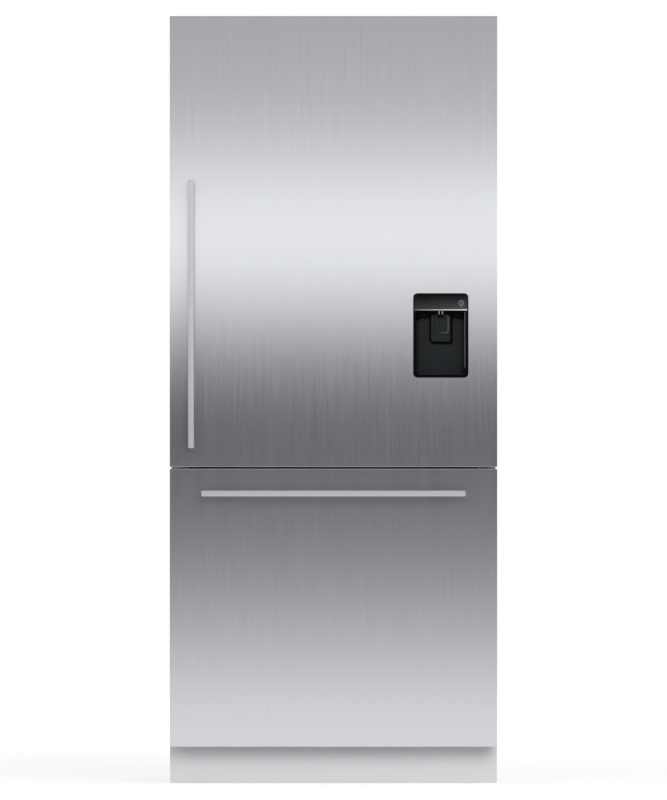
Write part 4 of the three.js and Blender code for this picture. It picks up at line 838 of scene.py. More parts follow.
def panel_grid(u, v, height, gauge, place, keep):
    """A sheet over a grid of u and v that follows a height field; cells where keep is false are left open.

    place turns (u, v, height) arrays into points; the rims of the outline and of every opening are walls between
    the two faces, found as the edges that only one kept cell has.
    """
    grid_u, grid_v = np.meshgrid(u, v)
    rise, far = height(grid_u, grid_v), grid_u.size
    points = np.concatenate([place(grid_u, grid_v, level).reshape(-1, 3) for level in (rise, rise - gauge)])
    index = np.arange(far).reshape(grid_u.shape)
    cells = np.stack([index[:-1, :-1], index[:-1, 1:], index[1:, 1:], index[1:, :-1]], -1)
    cells = cells[keep(*np.meshgrid((u[1:] + u[:-1]) / 2, (v[1:] + v[:-1]) / 2))]
    edges = np.stack([cells, np.roll(cells, -1, 1)], -1).reshape(-1, 2)
    border = edges[~np.isin(edges @ (far, 1), edges @ (1, far))]
    rim = np.stack([border[:, 1], border[:, 0], border[:, 0] + far, border[:, 1] + far], -1)
    used, renumbered = np.unique(np.concatenate([cells, cells[:, ::-1] + far, rim]), return_inverse=True)
    return outward(points[used], [renumbered.reshape(-1, 4)])


def stops(low, high, edges, soft, spare, *more):
    """Grid lines from low to high: even spares, five lines across the slope of each edge, and more lines as given."""
    lines = [np.linspace(low, high, spare + 1), *(edge + soft * np.linspace(-1, 1, 5) for edge in np.ravel(edges))]
    lines = np.unique(np.round(np.clip(np.concatenate(lines), low, high), 3))
    return np.unique(np.concatenate([lines, *map(np.ravel, more)]))


def plateau(value, soft, *ranges):
    """The sum over the ranges of 1 inside and 0 outside, falling over soft at each side as 3t^2 - 2t^3."""
    t = [np.clip((np.minimum(value - low, high - value) + soft) / (2 * soft), 0, 1) for low, high in ranges]
    return sum(share * share * (3 - 2 * share) for share in t)


def inside(value, *ranges):
    """How many of the ranges a value lies in."""
    return sum((value > low) & (value < high) for low, high in ranges)


def case():
    """The wrapper, one sheet bent over both sides and the top, the front frame and the mullion."""
    x, (front, back), z = span("cabinet_case")
    path = soften([(x[0], 0, z[0]), (x[0], 0, z[1]), (x[1], 0, z[1]), (x[1], 0, z[0])], 7, 5)
    section = closed([(0, back), (0, front), (-1.2, front), (-1.2, back)], [0.3, 0.9, 0.3, 0.3])
    piece("cabinet_wrapper", "case_paint", carry(path, section, (0, 1, 0)), "cabinet_case")
    fridge, freezer = span("fridge_liner"), span("freezer_liner")
    outer = hoops("y", (*within(x, 1.25), z[0], z[1] - 1.25), 5, [(0, front + 1.4), (0, front + 0.4), (0.4, front)])
    mouth = hoops("y", (*fridge[0], freezer[2][0], fridge[2][1]), 12, [(0, front), (-0.4, front + 1.4)])
    piece("cabinet_front_frame", "case_paint", skin(np.concatenate([outer, mouth]), ring=True))
    # the mullion's face is black rubber rather than the case's paint, so the slit between door and drawer reads dark:
    # painted shade
    section = rounded((front + 0.1, front + 16), (freezer[2][1] + 0.3, fridge[2][0] - 0.3), 1.5)
    piece("cabinet_mullion", "black_rubber", stretched(section, "x", fridge[0]), slot="case_paint")


def insulation():
    """Foam between the case and the liners, clear of the bends of the case and the fields of the rear sheet."""
    x, y, z = span("foam_insulation")
    x, z, back = within(x, 2.5), within(z, 0, 2.5), y[1] - 5.2
    fridge, freezer, clear = span("fridge_liner"), span("freezer_liner"), 0.5
    sides, liner_back = within(fridge[0], -clear), 268
    riser, ceiling = 116.0, span("base_chassis")[2][1] + clear
    step_y, step_z = FREEZER_STEP[0] + LINER_WALL + 0.55, FREEZER_STEP[1] - LINER_WALL - clear
    low = freezer[2][0] - clear
    hollow = [(y[0], z[0]), (riser, z[0]), (riser, ceiling), (back, ceiling)]
    side = [*hollow, (back, z[1]), (y[0], z[1])]
    floor = [*hollow, (back, step_z), (step_y, step_z), (step_y, low), (y[0], low)]
    parts = [stretched(section, "x", run) for section, run in (
        (side, (x[0], sides[0])), (side, (sides[1], x[1])), (floor, sides))]
    parts += [box8(sides, run, level) for run, level in (
        ((liner_back, back), (step_z - 0.5, z[1])), ((y[0], liner_back), (fridge[2][1] + clear, z[1])),
        ((y[0] + 17, liner_back), (freezer[2][1] + clear, fridge[2][0] - clear)))]
    piece("foam_blocks", "foam", join(*parts), "foam_insulation")


def rear_sheet():
    """Stamped sheet: three recessed fields, three rows of louvre slots and holes for water and power."""
    x, (_, back), z = span("rear_panel")
    depth, soft, gauge, bore = 3.5, 5, 1.2, 8.3
    fields_x, fields_z = [(-405, -150), (-125, 125), (150, 405)], [(345, 1170), (1210, 2065)]
    slots_x = [(at - 22, at + 22) for at in range(-248, 249, 62)]
    slots_z = [(at - 3, at + 3) for at in (195, 220, 245)]
    port = [sum(run) / 2 + at for run in span("water_valve")[::2] for at in (-bore, bore)]
    holes = (opening("power_inlet", 0.3), port)
    u = stops(*x, fields_x, soft, 8, slots_x, *(hole[:2] for hole in holes))
    v = stops(*z, fields_z, soft, 8, slots_z, *(hole[2:] for hole in holes))

    def height(across_x, up):
        return -depth * plateau(across_x, soft, *fields_x) * plateau(up, soft, *fields_z)

    def keep(across_x, up):
        slots = inside(across_x, *slots_x) * inside(up, *slots_z)
        return slots + sum(inside(across_x, hole[:2]) * inside(up, hole[2:]) for hole in holes) == 0

    def place(across_x, up, rise):
        return np.stack([across_x, back + rise, up], -1)

    piece("rear_sheet", "galvanised", panel_grid(u, v, height, gauge, place, keep), "rear_panel")
    places = [(side * (x[0] + 9), back - 2.2, at) for at in (90, 300, 700, 1190, 1650, 2085) for side in (-1, 1)]
    places += [(at, back - 2.2, 318) for at in (-280, 0, 280)]
    piece("rear_screws", "bracket_zinc", screws("y", places, 1, 4.5, 2.0))


def fridge_liner():
    """A drawn shell with a ledge under each shelf and two upright mouldings that stiffen each side wall."""
    x, (front, back), z = span("fridge_liner")
    profile = soften([(12, back), (0, back), (0, front), (3, front), (3, back - 3), (26, back - 3)],
                     [0, 14, 0.8, 1.6, 14, 0], 5)
    tops = [span(shelf)[2][1] - 5 for shelf in reversed(SHELVES)]
    ledges = [block((387.5, 399.5), (-77, 235), (top - 6.3, top - 0.3), 2.0, 2.5) for top in tops]
    ribs = [block((396.8, 399.5), (at - 4, at + 4), (1150, 2040), 1.2, 2) for at in (-150, -110)]
    both = join(*ledges, *ribs)
    shell = around("y", (*x, *z), 14, profile)
    piece("fridge_liner_moulding", "liner_white", join(shell, both, mirrored(both)), "fridge_liner")


def freezer_liner():
    """A belt round the inside and two side walls with a ledge for the tray and four upright ribs."""
    _, (front, back), (low, high) = span("freezer_liner")
    (step_y, step_z), wall = FREEZER_STEP, LINER_WALL
    outer = [(front, high), (back, high), (back, step_z - wall), (step_y + wall, step_z - wall),
             (step_y + wall, low), (front, low)]
    inner = [(front, low + wall), (step_y, low + wall), (step_y, step_z), (back - wall, step_z),
             (back - wall, high - wall), (front, high - wall)]
    belt = closed(outer + inner, [0.8, 11, 11, 5, 11, 0.8, 0.8, 8, 11, 8, 8, 0.8], 4)
    side = closed(outer, [0.8, 11, 11, 5, 11, 0.8], 4)
    shelf = span("freezer_tray")[2][0]
    ledge = block((375.3, 399.5), (-207, 182), (shelf - 8.3, shelf - 0.3), 2.0, 2.5)
    ribs = repeat(block((396.6, 399.5), (-4, 4), (180, 560), 1.2, 2), along("y", [-150, -90, -30, 30]))
    walls = join(stretched(side, "x", (398, 401)), ledge, ribs)
    piece("freezer_liner_moulding", "liner_white",
          join(stretched(belt, "x", (-398.5, 398.5)), walls, mirrored(walls)), "freezer_liner")


class RefrigeratorCabinet(bpy.types.Operator):
    """Outer case, front frame, mullion, rear panel, liners and the insulation between them"""
    bl_idname = "refrigerator.cabinet"
    bl_label = "Cabinet"

    def execute(self, context):
        case()
        rear_sheet()
        fridge_liner()
        freezer_liner()
        insulation()
        return {"FINISHED"}


def foot(node):
    """A rubber pad under a threaded stem with a lock nut."""
    x, y, z = span(node)
    centre = (sum(x) / 2, sum(y) / 2)
    pad = soften([(18, 0), (22, 0), (22, 5), (13, 8), (9, 8), (9, 7)], [0, 1.5, 2.5, 2, 0.5, 0])
    piece(node + "_pad", "black_rubber", turned("z", centre, pad, 36), node)
    stem = [(5.9, 7.6), (5.9, 19), *thread(5.9, 0.7, 20, 0.9, 70), (5.2, z[1] - 0.8), (4.2, z[1])]
    nut = soften([(9.6, 36.7), (11, 37.6), (11, 43.8), (9.6, 44.7)], 0.4, 2)
    piece(node + "_stem", "bracket_zinc", join(turned("z", centre, stem, 16), turned("z", centre, nut, 6)))


def roller(node):
    """A tyre on a hub with six spokes."""
    (left, right), y, z = span(node)
    centre = (sum(y) / 2, sum(z) / 2)
    tyre = closed(both_ends([(17, 1), (22, 0), (25, 3)], left, right), [0, 1.5, 2, 2, 1.5, 0])
    piece(node + "_tyre", "black_rubber", turned("x", centre, tyre, 48, ring=True), node)
    hub = closed(both_ends([(5.3, 0.5), (9, 0.5), (9.5, 4), (16, 4), (17.3, 1)], left, right), 0.8, 2)
    spoke = block((left + 3, right - 3), (-1.2, 1.2), (9, 16.8), 0.5)
    spokes = [moved(rotated(spoke, "x", turn), 0, *centre) for turn in range(0, 360, 60)]
    piece(node + "_hub", "grey_plastic", join(turned("x", centre, hub, 48, ring=True), *spokes), body=BODY_OF[node])


class RefrigeratorStand(bpy.types.Operator):
    """Chassis, screw feet and rear rollers"""
    bl_idname = "refrigerator.stand"
    bl_label = "Chassis, feet and rollers"

    def execute(self, context):
        dress("base_chassis", "galvanised")
        for side in ("left", "right"):
            foot(f"front_foot_{side}")
            roller(f"rear_roller_{side}")
        return {"FINISHED"}


# ---------------------------------------------------------------- machine compartment


def fan_blades(centre, y, radius, hub, pitch=34.0, count=5):
    """Twisted blades about y: at radius r the chord turns by pitch + 22 (1 - (hub / r)^0.5), thinner to the tip."""
    r = np.linspace(hub - 1.5, radius, 9)[:, None]
    s = np.concatenate([np.linspace(-1, 1, 11), np.linspace(1, -1, 11)])[None]
    face = np.repeat([1, -1], 11)[None]
    chord = 0.30 * radius + 0.42 * (r - hub)
    twist = np.radians(pitch + 22 * (1 - np.sqrt(hub / r)))
    lean = s * chord / 2
    thick = face * np.sqrt(np.clip(1 - s ** 2, 0, 1)) * (1.5 - 0.7 * (r - hub) / (radius - hub))
    thick = thick + 0.10 * chord * (1 - s ** 2) - 0.04 * chord
    reach = (y[1] - y[0]) / 2 - 0.3
    depth = np.clip(lean * np.cos(twist) + thick * np.sin(twist), -reach, reach)
    angle = lean * np.sin(twist) / r + thick * np.cos(twist) / r
    blade = skin(np.stack([r * np.sin(angle), depth, r * np.cos(angle)], -1))
    blades = [moved(rotated(blade, "y", 360 * i / count), centre[0], sum(y) / 2, centre[1]) for i in range(count)]
    cap = soften([(1, y[0]), (hub, y[0]), (hub, y[1]), (hub - 2, y[1]), (hub - 2, y[0] + 3), (5, y[0] + 3),
                  (5, y[1] - 1), (1, y[1] - 1)], [0, 3, 0.4, 0.4, 1, 1, 0.4, 0])
    return join(*blades, turned("y", centre, cap, 36))


def holed_plate(x, z, y, centre, radius, corner, edge):
    """A plate square to y with a round hole: the rectangle's outlines pass into the hole's, which are circles."""
    hole = (centre[0] - radius, centre[0] + radius, centre[1] - radius, centre[1] + radius)
    outer = soften([(edge + 1, y[1]), (0, y[1]), (0, y[0]), (edge + 1, y[0])], edge)
    inner = [(-edge, y[0]), (0, y[0] + edge), (0, y[1] - edge), (-edge, y[1])]
    return skin(np.concatenate([hoops("y", (*x, *z), corner, outer, 8), hoops("y", hole, radius, inner, 8)]), ring=True)


def spider(centre, y, radius, arm=3.0):
    """Four tapered arms and a motor boss behind a fan."""
    arms = [rotated(block((-arm, arm), y, (10, radius + 1.5), 1.0), "y", turn) for turn in range(45, 405, 90)]
    boss = turned("y", (0, 0), soften([(10, y[1]), (15, y[1]), (15, y[0]), (10, y[0])], 1.2), 32)
    return moved(join(*arms, boss), centre[0], 0, centre[1])


def serpentine(x, y, z, runs, radius, bend):
    """A pipe to and fro along x, climbing in z by equal steps."""
    ends = np.arange(runs) % 2
    path = np.stack([np.stack([np.take(x, ends), np.take(x, 1 - ends)], -1).ravel(), np.full(2 * runs, y),
                     np.repeat(np.linspace(*z, runs), 2)], -1)
    return pipe(path, radius, bend, (0, 1, 0), 8)


def fins(x, y, z):
    """Thin plates at each x."""
    return repeat(box8((-0.25, 0.25), y, z), along("x", x))


def compressor():
    """A domed shell on a plate with a cradle and grommets, its terminals and three pipes."""
    x, y, (low, high) = span("compressor")
    centre = np.array([sum(x) / 2, sum(y) / 2, low])
    t = np.linspace(0, math.pi / 2, 12)[:-1]
    dome = np.stack([80 * np.cos(t), high - 45 + 45 * np.sin(t)], -1)
    wall = np.array([(30, 8), (60, 10), (74, 18), (78.5, 28), (78.5, 66), (80, 68), (80, 74), (78.8, 76)])
    shell = turned("z", centre[:2], np.concatenate([wall + (0, low), dome, [(4, high)]]), 64)
    piece("compressor_shell", "black_enamel", shell, "compressor")
    cradle = repeat(block((-16, 16), (-1.2, 1.2), (0, 22), 0.6),
                    [centre + (side, row, 4) for row in (-56, 56) for side in (46, -46)])
    piece("compressor_plate", "bracket_zinc", join(block(x, y, (low + 2.6, low + 5.2), 1.0, 14), cradle))
    grommet = soften([(5, low), (11, low), (8.5, low + 5), (11, low + 11), (5, low + 11)], [0, 2, 3, 2, 0])
    corners = [(a, b, 0) for a in within(x, 16) for b in within(y, 15)]
    piece("compressor_grommets", "black_rubber", repeat(turned("z", (0, 0), grommet, 24), corners))
    piece("compressor_terminals", "black_satin", moved(block((14, 66), (-82, -44), (42, 96), 2.5, 5), *centre))
    suction = [centre + (-62, -40, 60), (centre[0] - 84, y[0] + 10, low + 60),
               (centre[0] - 84, y[0] + 10, high + 30), (centre[0] - 84, y[1] - 20, high + 30)]
    discharge = centre + [(62, 40, 52), (92, 58, 52), (92, 58, 100), (230, -60, 100), (306, -84, 150)]
    process = centre + [(-20, 74, 46), (-20, 84, 46), (-20, 84, 12)]
    piece("compressor_pipes", "copper", join(
        pipe(suction, 4, 14, (1, 0.2, 0.1)), pipe(discharge, 3, 12, (0.1, 0.2, 1.0)), pipe(process, 3, 8, (1, 0, 0.1))))


def condenser():
    x, y, z = span("condenser")
    piece("condenser_fins", "fin_aluminium", fins(np.arange(x[0] + 8, x[1] - 7, 5.2), within(y, 1), within(z, 1)),
          "condenser")
    plates = [block((at, at + 1.5), y, z, 0.5, 2, "x") for at in (x[0] + 4, x[1] - 5.5)]
    piece("condenser_ends", "bracket_zinc", join(*plates))
    runs = [serpentine(within(x, 5.5), at, within(z, 14), 7, 3.6, 11) for at in within(y, 18)]
    piece("condenser_pipe", "copper", join(*runs))


def condenser_fan():
    """A shroud of two holed plates, duct, flange and spider, and the fan in it."""
    x, y, z = span("condenser_fan_shroud")
    middle, bore = (sum(x) / 2, sum(z) / 2), 75
    plates = [holed_plate(x, z, run, middle, bore, 4, 0.8) for run in ((y[0], y[0] + 3), (y[1] - 3, y[1]))]
    duct = tube("y", middle, (bore, bore + 2.5), within(y, 0.4), 0.4, sides=64)
    flange = around("y", (*x, *z), 4, rounded((0.2, 2.6), within(y, 1), 0.2, 1), ring=True)
    piece("condenser_shroud", "grey_plastic", join(*plates, duct, flange, spider(middle, (y[1] - 4, y[1]), bore)),
          "condenser_fan_shroud")
    piece("condenser_blades", "fan_plastic", fan_blades(middle, span("condenser_fan")[1], 70, 16), "condenser_fan")


def connections():
    """Drip tray, control box with its vents, power socket and water valve."""
    piece("drip_tray_moulded", "grey_plastic", tub(*span("drip_tray"), 2, 12, 3), "drip_tray")
    x, y, z = span("control_box")
    lid = block((x[0], x[0] + 1.6), within(y, 3), within(z, 3), 0.6, 2, "x")
    piece("control_housing", "galvanised", join(block(x, y, z, 1.4, 3, "y"), lid), "control_box")
    slot = block((-0.8, 1.0), (-28, 28), (-1.6, 1.6), 0.6)
    piece("control_vents", "black_satin",
          repeat(slot, along("z", np.linspace(z[0] + 24, z[1] - 40, 7), (x[0], sum(y) / 2, 0))))
    x, (inner, outer), z = span("power_inlet")
    profile = soften([(4, inner), (1.5, inner), (1.5, outer - 3), (0, outer - 3), (0, outer - 0.2), (3, outer - 0.2),
                      (3.6, inner + 6), (8, inner + 6)], [0, 1, 0.3, 0.4, 0.6, 0.6, 1, 0])
    piece("power_socket", "black_satin", around("y", (*x, *z), 5, profile), "power_inlet")
    pin = block((-1, 1), (inner + 5, outer - 8), (-2.2, 2.2), 0.5)
    piece("power_pins", "bracket_zinc", repeat(pin, along("x", [-11, 0, 11], (sum(x) / 2, 0, sum(z) / 2))))
    x, (inner, outer), z = span("water_valve")
    coil = soften([(4, z[1] - 8), (11, z[1] - 8), (11, z[1]), (4, z[1])], 1.2)
    piece("water_valve_body", "grey_plastic", join(
        block(x, (inner + 1.6, outer - 1.6), within(z, 6), 2.5, 4),
        turned("z", (sum(x) / 2, inner + 13), coil, 28)), "water_valve")
    port = [(7.4, inner + 8), *thread(8.0, 0.8, outer - 8, 1.1, 7), (7.2, outer - 0.2), (5.2, outer - 0.2),
            (5.0, outer - 7), (1, outer - 7)]
    piece("water_valve_port", "bracket_zinc", turned("y", (sum(x) / 2, sum(z) / 2), port, 24))


class RefrigeratorMachinery(bpy.types.Operator):
    """Compressor, condenser, fan, drip tray, control box and connections"""
    bl_idname = "refrigerator.machinery"
    bl_label = "Machine compartment"

    def execute(self, context):
        compressor()
        condenser()
        condenser_fan()
        connections()
        return {"FINISHED"}


# ---------------------------------------------------------------- boxes, bins and shelves


def tub(x, y, z, wall, corner, rim=0.0, draft=0.0):
    """An open box: outside skin up to a rim that turns outwards, then down the inside to the floor."""
    profile = soften([
        (corner + draft, z[0]), (draft + rim, z[0]), (rim, z[1] - 4), (0, z[1] - (4 if rim else 3.9)), (0, z[1]),
        (wall + rim, z[1]), (wall + rim + draft, z[0] + wall), (corner + wall + draft, z[0] + wall)],
        [0, min(corner, 8), 0.6, 0.4, 0.8, 0.8, min(corner, 7), 0], 4)
    return around("z", (*x, *y), corner, profile)


def bars(axis, run, size, places, level):
    """Raised ribs: rounded bars along one axis, spread over places on the other at a level."""
    x, y, other = (run, (-size, size), "y") if axis == "x" else ((-size, size), run, "x")
    return repeat(block(x, y, (-0.6, 1.4), 0.7, 0.9, steps=2), along(other, places, (0, 0, level)))


def shelf(node):
    """A pane between a hooked front trim and a low fence at the rear."""
    x, (front, rear), (low, top) = span(node)
    piece(node + "_glass", "shelf_glass", block(x, (front + 2, rear - 2), (top - 5, top - 0.4), 0.8, 5), node)
    hook = closed([(front + 0.2, low + 1), (front + 0.2, top), (front + 13, top), (front + 13, top - 0.9),
                   (front + 3.4, top - 0.9), (front + 3.4, top - 5.4), (front + 13, top - 5.4),
                   (front + 13, top - 8.4), (front + 4.5, low)], [1.5, 2, 0.4, 0.4, 0.4, 0.4, 0.8, 0.8, 2])
    fence = closed([(rear - 12, top), (rear - 0.2, top), (rear - 0.2, low + 2), (rear - 3, low + 2),
                    (rear - 3, top - 5.4), (rear - 12, top - 5.4)], [0.6, 1.2, 1, 1, 0.4, 0.4])
    piece(node + "_trim", "trim_white", join(*(stretched(trim, "x", within(x, 10.4)) for trim in (hook, fence))))


def crisper(node):
    """A frosted box with ribs on its floor, a hooked grip and a sliding humidity knob."""
    x, y, z = span(node)
    body, corner = BODY_OF[node], (sum(x) / 2, y[0] + 10, z[1])  # the middle of the box's upper front edge
    ribs = bars("y", within(y, 40, 30), 1.6, np.linspace(x[0] + 50, x[1] - 50, 7), z[0] + 3.2)
    piece(node + "_box", "frosted_plastic", join(tub(x, within(y, 10, 0), z, 3, 10, 1.2, 3), ribs), node)
    hook = closed([(0.4, -22), (-9, -16), (-9.8, -1), (2.6, -0.2), (2.6, -3), (-7, -4), (-6.6, -13), (0.4, -18)], 1.2)
    piece(node + "_grip", "trim_white", moved(stretched(hook, "x", (-75, 75)), *corner), body=body)
    slide = block((-24, 24), (-1.2, 0.4), (-62, -44), 0.6, 4, "y")
    knob = block((4, 16), (-3.0, -0.8), (-60, -46), 0.8, 2, "y")
    piece(node + "_humidity", "grey_plastic", moved(join(slide, knob), *corner), body=body)


def air_tower():
    x, y, z = span("air_tower")
    profile = soften([(6, z[0]), (0, z[0]), (0, z[1]), (6, z[1])], [0, 5, 5, 0], 4)
    piece("air_tower_moulding", "liner_white", around("z", (*x, *y), (3, 3, 10, 10), profile), "air_tower")
    piece("air_tower_cover", "trim_white", block((-26, 26), (y[0] - 1.3, y[0] + 1.8), within(z, 30), 0.9, 8, "y"))
    mouths = [at + row for at in (z[0] + 130, z[0] + 350, z[0] + 570, z[1] - 90) for row in (-12, 0, 12)]
    slot = block((-20, 20), (-0.7, 1.2), (-2.6, 2.6), 0.6, 2.4, "y")
    piece("air_tower_vents", "grey_plastic", repeat(slot, along("z", mouths, (0, y[0] - 1.0, 0))))


def ceiling_lamp(flutes=20, border=10.2):
    """A frame round a lens with flutes of 0.8 mm across it."""
    x, y, z = span("ceiling_lamp")
    profile = closed([(0, z[1]), (0, z[0] + 3), (8, z[0]), (10, z[0] + 2), (10, z[1])], [0.4, 3, 1, 0.6, 0.4])
    piece("ceiling_lamp_frame", "trim_white", around("z", (*x, *y), 16, profile, ring=True))
    place = np.linspace(*within(x, border), 6 * flutes + 1)
    wave = z[0] + 1.4 + 0.8 * np.abs(np.sin(np.linspace(0, flutes * math.pi, len(place))))
    section = np.concatenate([np.stack([place, wave], -1), [(place[-1], z[1] - 1), (place[0], z[1] - 1)]])
    piece("ceiling_lamp_lens", "lamp_cover", stretched(section, "y", within(y, border)), "ceiling_lamp")


class RefrigeratorFridge(bpy.types.Operator):
    """Glass shelves, crispers, air tower and lamp of the upper compartment"""
    bl_idname = "refrigerator.fridge"
    bl_label = "Refrigerator compartment"

    def execute(self, context):
        for node in SHELVES:
            shelf(node)
        for side in ("left", "right"):
            crisper(f"crisper_{side}")
        air_tower()
        ceiling_lamp()
        return {"FINISHED"}


def channel(x, y, z, web, lip, gauge):
    """A C section with rolled lips, open to the middle of the refrigerator, on the right-hand side."""
    (inner, outer), (low, high) = x, z
    back, fold = outer - web, inner + gauge
    section = closed([(outer, low), (outer, high), (inner, high), (inner, high - lip), (fold, high - lip),
                      (fold, high - gauge), (back, high - gauge), (back, low + gauge), (fold, low + gauge),
                      (fold, low + lip), (inner, low + lip), (inner, low)],
                     [2, 2, 2, 0.3, 0.3, 1, 1, 1, 1, 0.3, 0.3, 2])
    return stretched(section, "y", y)


def slides():
    """Fixed rails with their bolts, and the slides' middle members with their balls."""
    x, y, z = span("freezer_rail_right")
    bolts = screws("x", [(x[1] - 2.4, at, sum(z) / 2) for at in (-170, 0, 140)], -1, 4, 1.4)
    rail = join(channel(x, y, z, 2.0, 7.6, 1.8), bolts)
    x, y, z = span("slide_middle_right")
    ball = turned("x", (0, 0), [(0.6, -1.6), (1.6, -0.8), (1.9, 0), (1.6, 0.8), (0.6, 1.6)], 10)
    balls = repeat(ball, [(x[0] + 2.6, at, level) for at in np.linspace(y[0] + 20, y[0] + 130, 9)
                          for level in within(z, 3.6)])
    member = join(channel(x, y, z, 2.2, 7.4, 1.6), balls)
    for side, fixed, moving in (("right", rail, member), ("left", mirrored(rail), mirrored(member))):
        piece(f"rail_{side}", "bracket_zinc", fixed, f"freezer_rail_{side}")
        piece(f"slide_{side}", "bracket_zinc", moving, f"slide_middle_{side}")


def drawer_arms():
    """The drawer's plate with an arm and a gusset at each side."""
    x, (front, back), (low, high) = span("drawer_frame")
    arm = block((x[1] - 7.6, x[1]), (front + 0.5, back - 0.5), (high - 17.8, high), 1.2, 1.5)
    corners = [(front, low + 4), (front, high - 8), (front + 95, high - 8), (front + 8, low + 4)]
    half = join(arm, stretched(closed(corners, 2, 2), "x", (x[1] - 3.4, x[1] - 1.6)))
    plate = block(x, (front, front + 3), (low, high), 1.0, 4, "y")
    bolts = screws("y", [(at, front + 2.8, low + 16) for at in (-340, -120, 120, 340)], 1, 4.5, 2)
    piece("drawer_arms", "bracket_zinc", join(plate, half, mirrored(half), bolts), "drawer_frame")


def bin_and_tray():
    """Clear mouldings with ribbed floors, each with a white lip along its front."""
    x, y, z = span("freezer_bin")
    rim = z[1] - 4
    body = tub((-360, 360), y, (z[0], z[1] - 0.2), 2.5, 22, 0, 6)
    flange = block((359, x[1]), within(y, 2), (rim + 0.3, z[1]), 1.2, 5)
    ribs = bars("y", within(y, 40), 2.5, np.linspace(-290, 290, sizes().ribs), z[0] + 3)
    wave = block((-2, 2), (-1.6, 0.6), (z[0] + 60, rim - 40), 1.0)
    waves = repeat(wave, along("x", np.linspace(-300, 300, 13), (0, y[0] + 2.4, 0)))
    piece("freezer_bin_moulding", "clear_plastic", join(body, flange, mirrored(flange), ribs, waves), "freezer_bin")
    lip = rounded((y[0] + 0.4, y[0] + 4.2), (z[1] - 26, z[1] - 0.4), 1.2)
    piece("freezer_bin_lip", "trim_white", stretched(lip, "x", (-350, 350)), body="drawer")
    x, y, z = span("freezer_tray")
    ribs = bars("x", within(x, 40), 2, np.linspace(y[0] + 50, y[1] - 50, 9), z[0] + 3)
    wall = block((-1.2, 1.2), within(y, 8), (z[0] + 2, z[1] - 20), 0.8)
    piece("freezer_tray_moulding", "clear_plastic", join(tub(x, y, z, 2.5, 14, 2, 4), ribs, wall), "freezer_tray")
    lip = rounded((y[0] + 0.2, y[0] + 4), (z[1] - 18, z[1] - 0.2), 1.2)
    piece("freezer_tray_grip", "trim_white", stretched(lip, "x", (-150, 150)), body="tray")


def duct_cover(split=700.0, radius=45):
    """A pressed lower half with a row of slots, and an upper half round the fan's mouth with its guard."""
    x, (front, back), z = span("freezer_duct_cover")
    centre, soft, level = (0, pivot("evaporator_fan_spin")[2]), 6, (381, 389)
    field_x, field_z = (-300, 300), (430, 670)
    slots = [(at - 30, at + 30) for at in range(-270, 271, 90)]

    def height(across_x, up):
        """A field 2 mm proud of the cover's edge."""
        return 2 * plateau(across_x, soft, field_x) * plateau(up, soft, field_z) - 2

    def keep(across_x, up):
        return inside(across_x, *slots) * inside(up, level) == 0

    def place(across_x, up, rise):
        return np.stack([across_x, front - rise, up], -1)

    u, v = stops(*x, field_x, soft, 8, slots), stops(z[0], split, field_z, soft, 3, level)
    lower = panel_grid(u, v, height, 2.4, place, keep)
    upper = holed_plate(x, (split - 0.5, z[1]), (front + 2, front + 4.4), centre, radius, 2, 0.6)
    collar = tube("y", centre, (radius, radius + 3), (front + 1, back), 0.6)
    guard = [tube("y", centre, (r, r + 1.8), (front + 1.6, front + 3.6), 0.4, 1) for r in (12, 20, 28, 36)]
    spoke = block((-1.2, 1.2), (front + 1.8, front + 3.8), (0, radius + 0.5), 0.4)
    spokes = [moved(rotated(spoke, "y", turn), 0, 0, centre[1]) for turn in range(0, 360, 60)]
    motor = spider(centre, (back - 4, back), radius, 2.2)
    piece("duct_cover_moulding", "liner_white", join(lower, upper, collar, *guard, *spokes, motor),
          "freezer_duct_cover")
    piece("evaporator_blades", "fan_plastic", fan_blades(centre, span("evaporator_fan")[1], 40.5, 12, 36),
          "evaporator_fan")


def evaporator():
    x, y, z = span("evaporator")
    piece("evaporator_fins", "fin_aluminium", fins(np.arange(x[0] + 4, x[1] - 3, 6.5), within(y, 0.5), z), "evaporator")
    runs = [serpentine(within(x, -8), at, within(z, 14), 6, 4, 14) for at in within(y, 12)]
    piece("evaporator_pipe", "fin_aluminium", join(*runs))


def ice_maker():
    """A housing with its mould and cups on a hanger, and the arm that feels how full the bin is."""
    x, (front, back), (low, high) = span("ice_maker")
    housing = block(x, (front, front + 34), (low, high), 4, 6, "y")
    mould = tub(within(x, 14), (front + 34, back - 4), (low + 14, high - 14), 3, 8)
    cups = repeat(block((-2, 2), (front + 38, back - 8), (low + 16, high - 18), 1),
                  along("x", np.linspace(x[0] + 40, x[1] - 40, 6)))
    hanger = block(within(x, 2), (front + 2, back - 2), (high - 4, high), 1.2, 4)
    piece("ice_maker_housing", "ice_plastic", join(housing, mould, cups, hanger), "ice_maker")
    near, far = x[1] - 8, x[1] - 3
    path = [(near, front + 20, low + 22), (far, front + 20, low + 22), (far, front + 30, low + 3),
            (far, back - 30, low + 3), (far, back - 20, low + 30)]
    piece("ice_maker_arm", "bracket_zinc", pipe(path, 1.8, 6, (1, 0.1, 0.2), 8))


class RefrigeratorFreezer(bpy.types.Operator):
    """Rails, slides, drawer frame, bin, tray, duct cover, evaporator, fan and ice maker"""
    bl_idname = "refrigerator.freezer"
    bl_label = "Freezer compartment"

    def execute(self, context):
        slides()
        drawer_arms()
        bin_and_tray()
        duct_cover()
        evaporator()
        ice_maker()
        return {"FINISHED"}


# ---------------------------------------------------------------- behind the steel fronts

CORE_FRONT = -273.6  # the foam slabs' face, just behind the steel panels' sheet
DOOR_BINS = ("door_bin_top", "door_bin_middle", "door_bin_bottom")


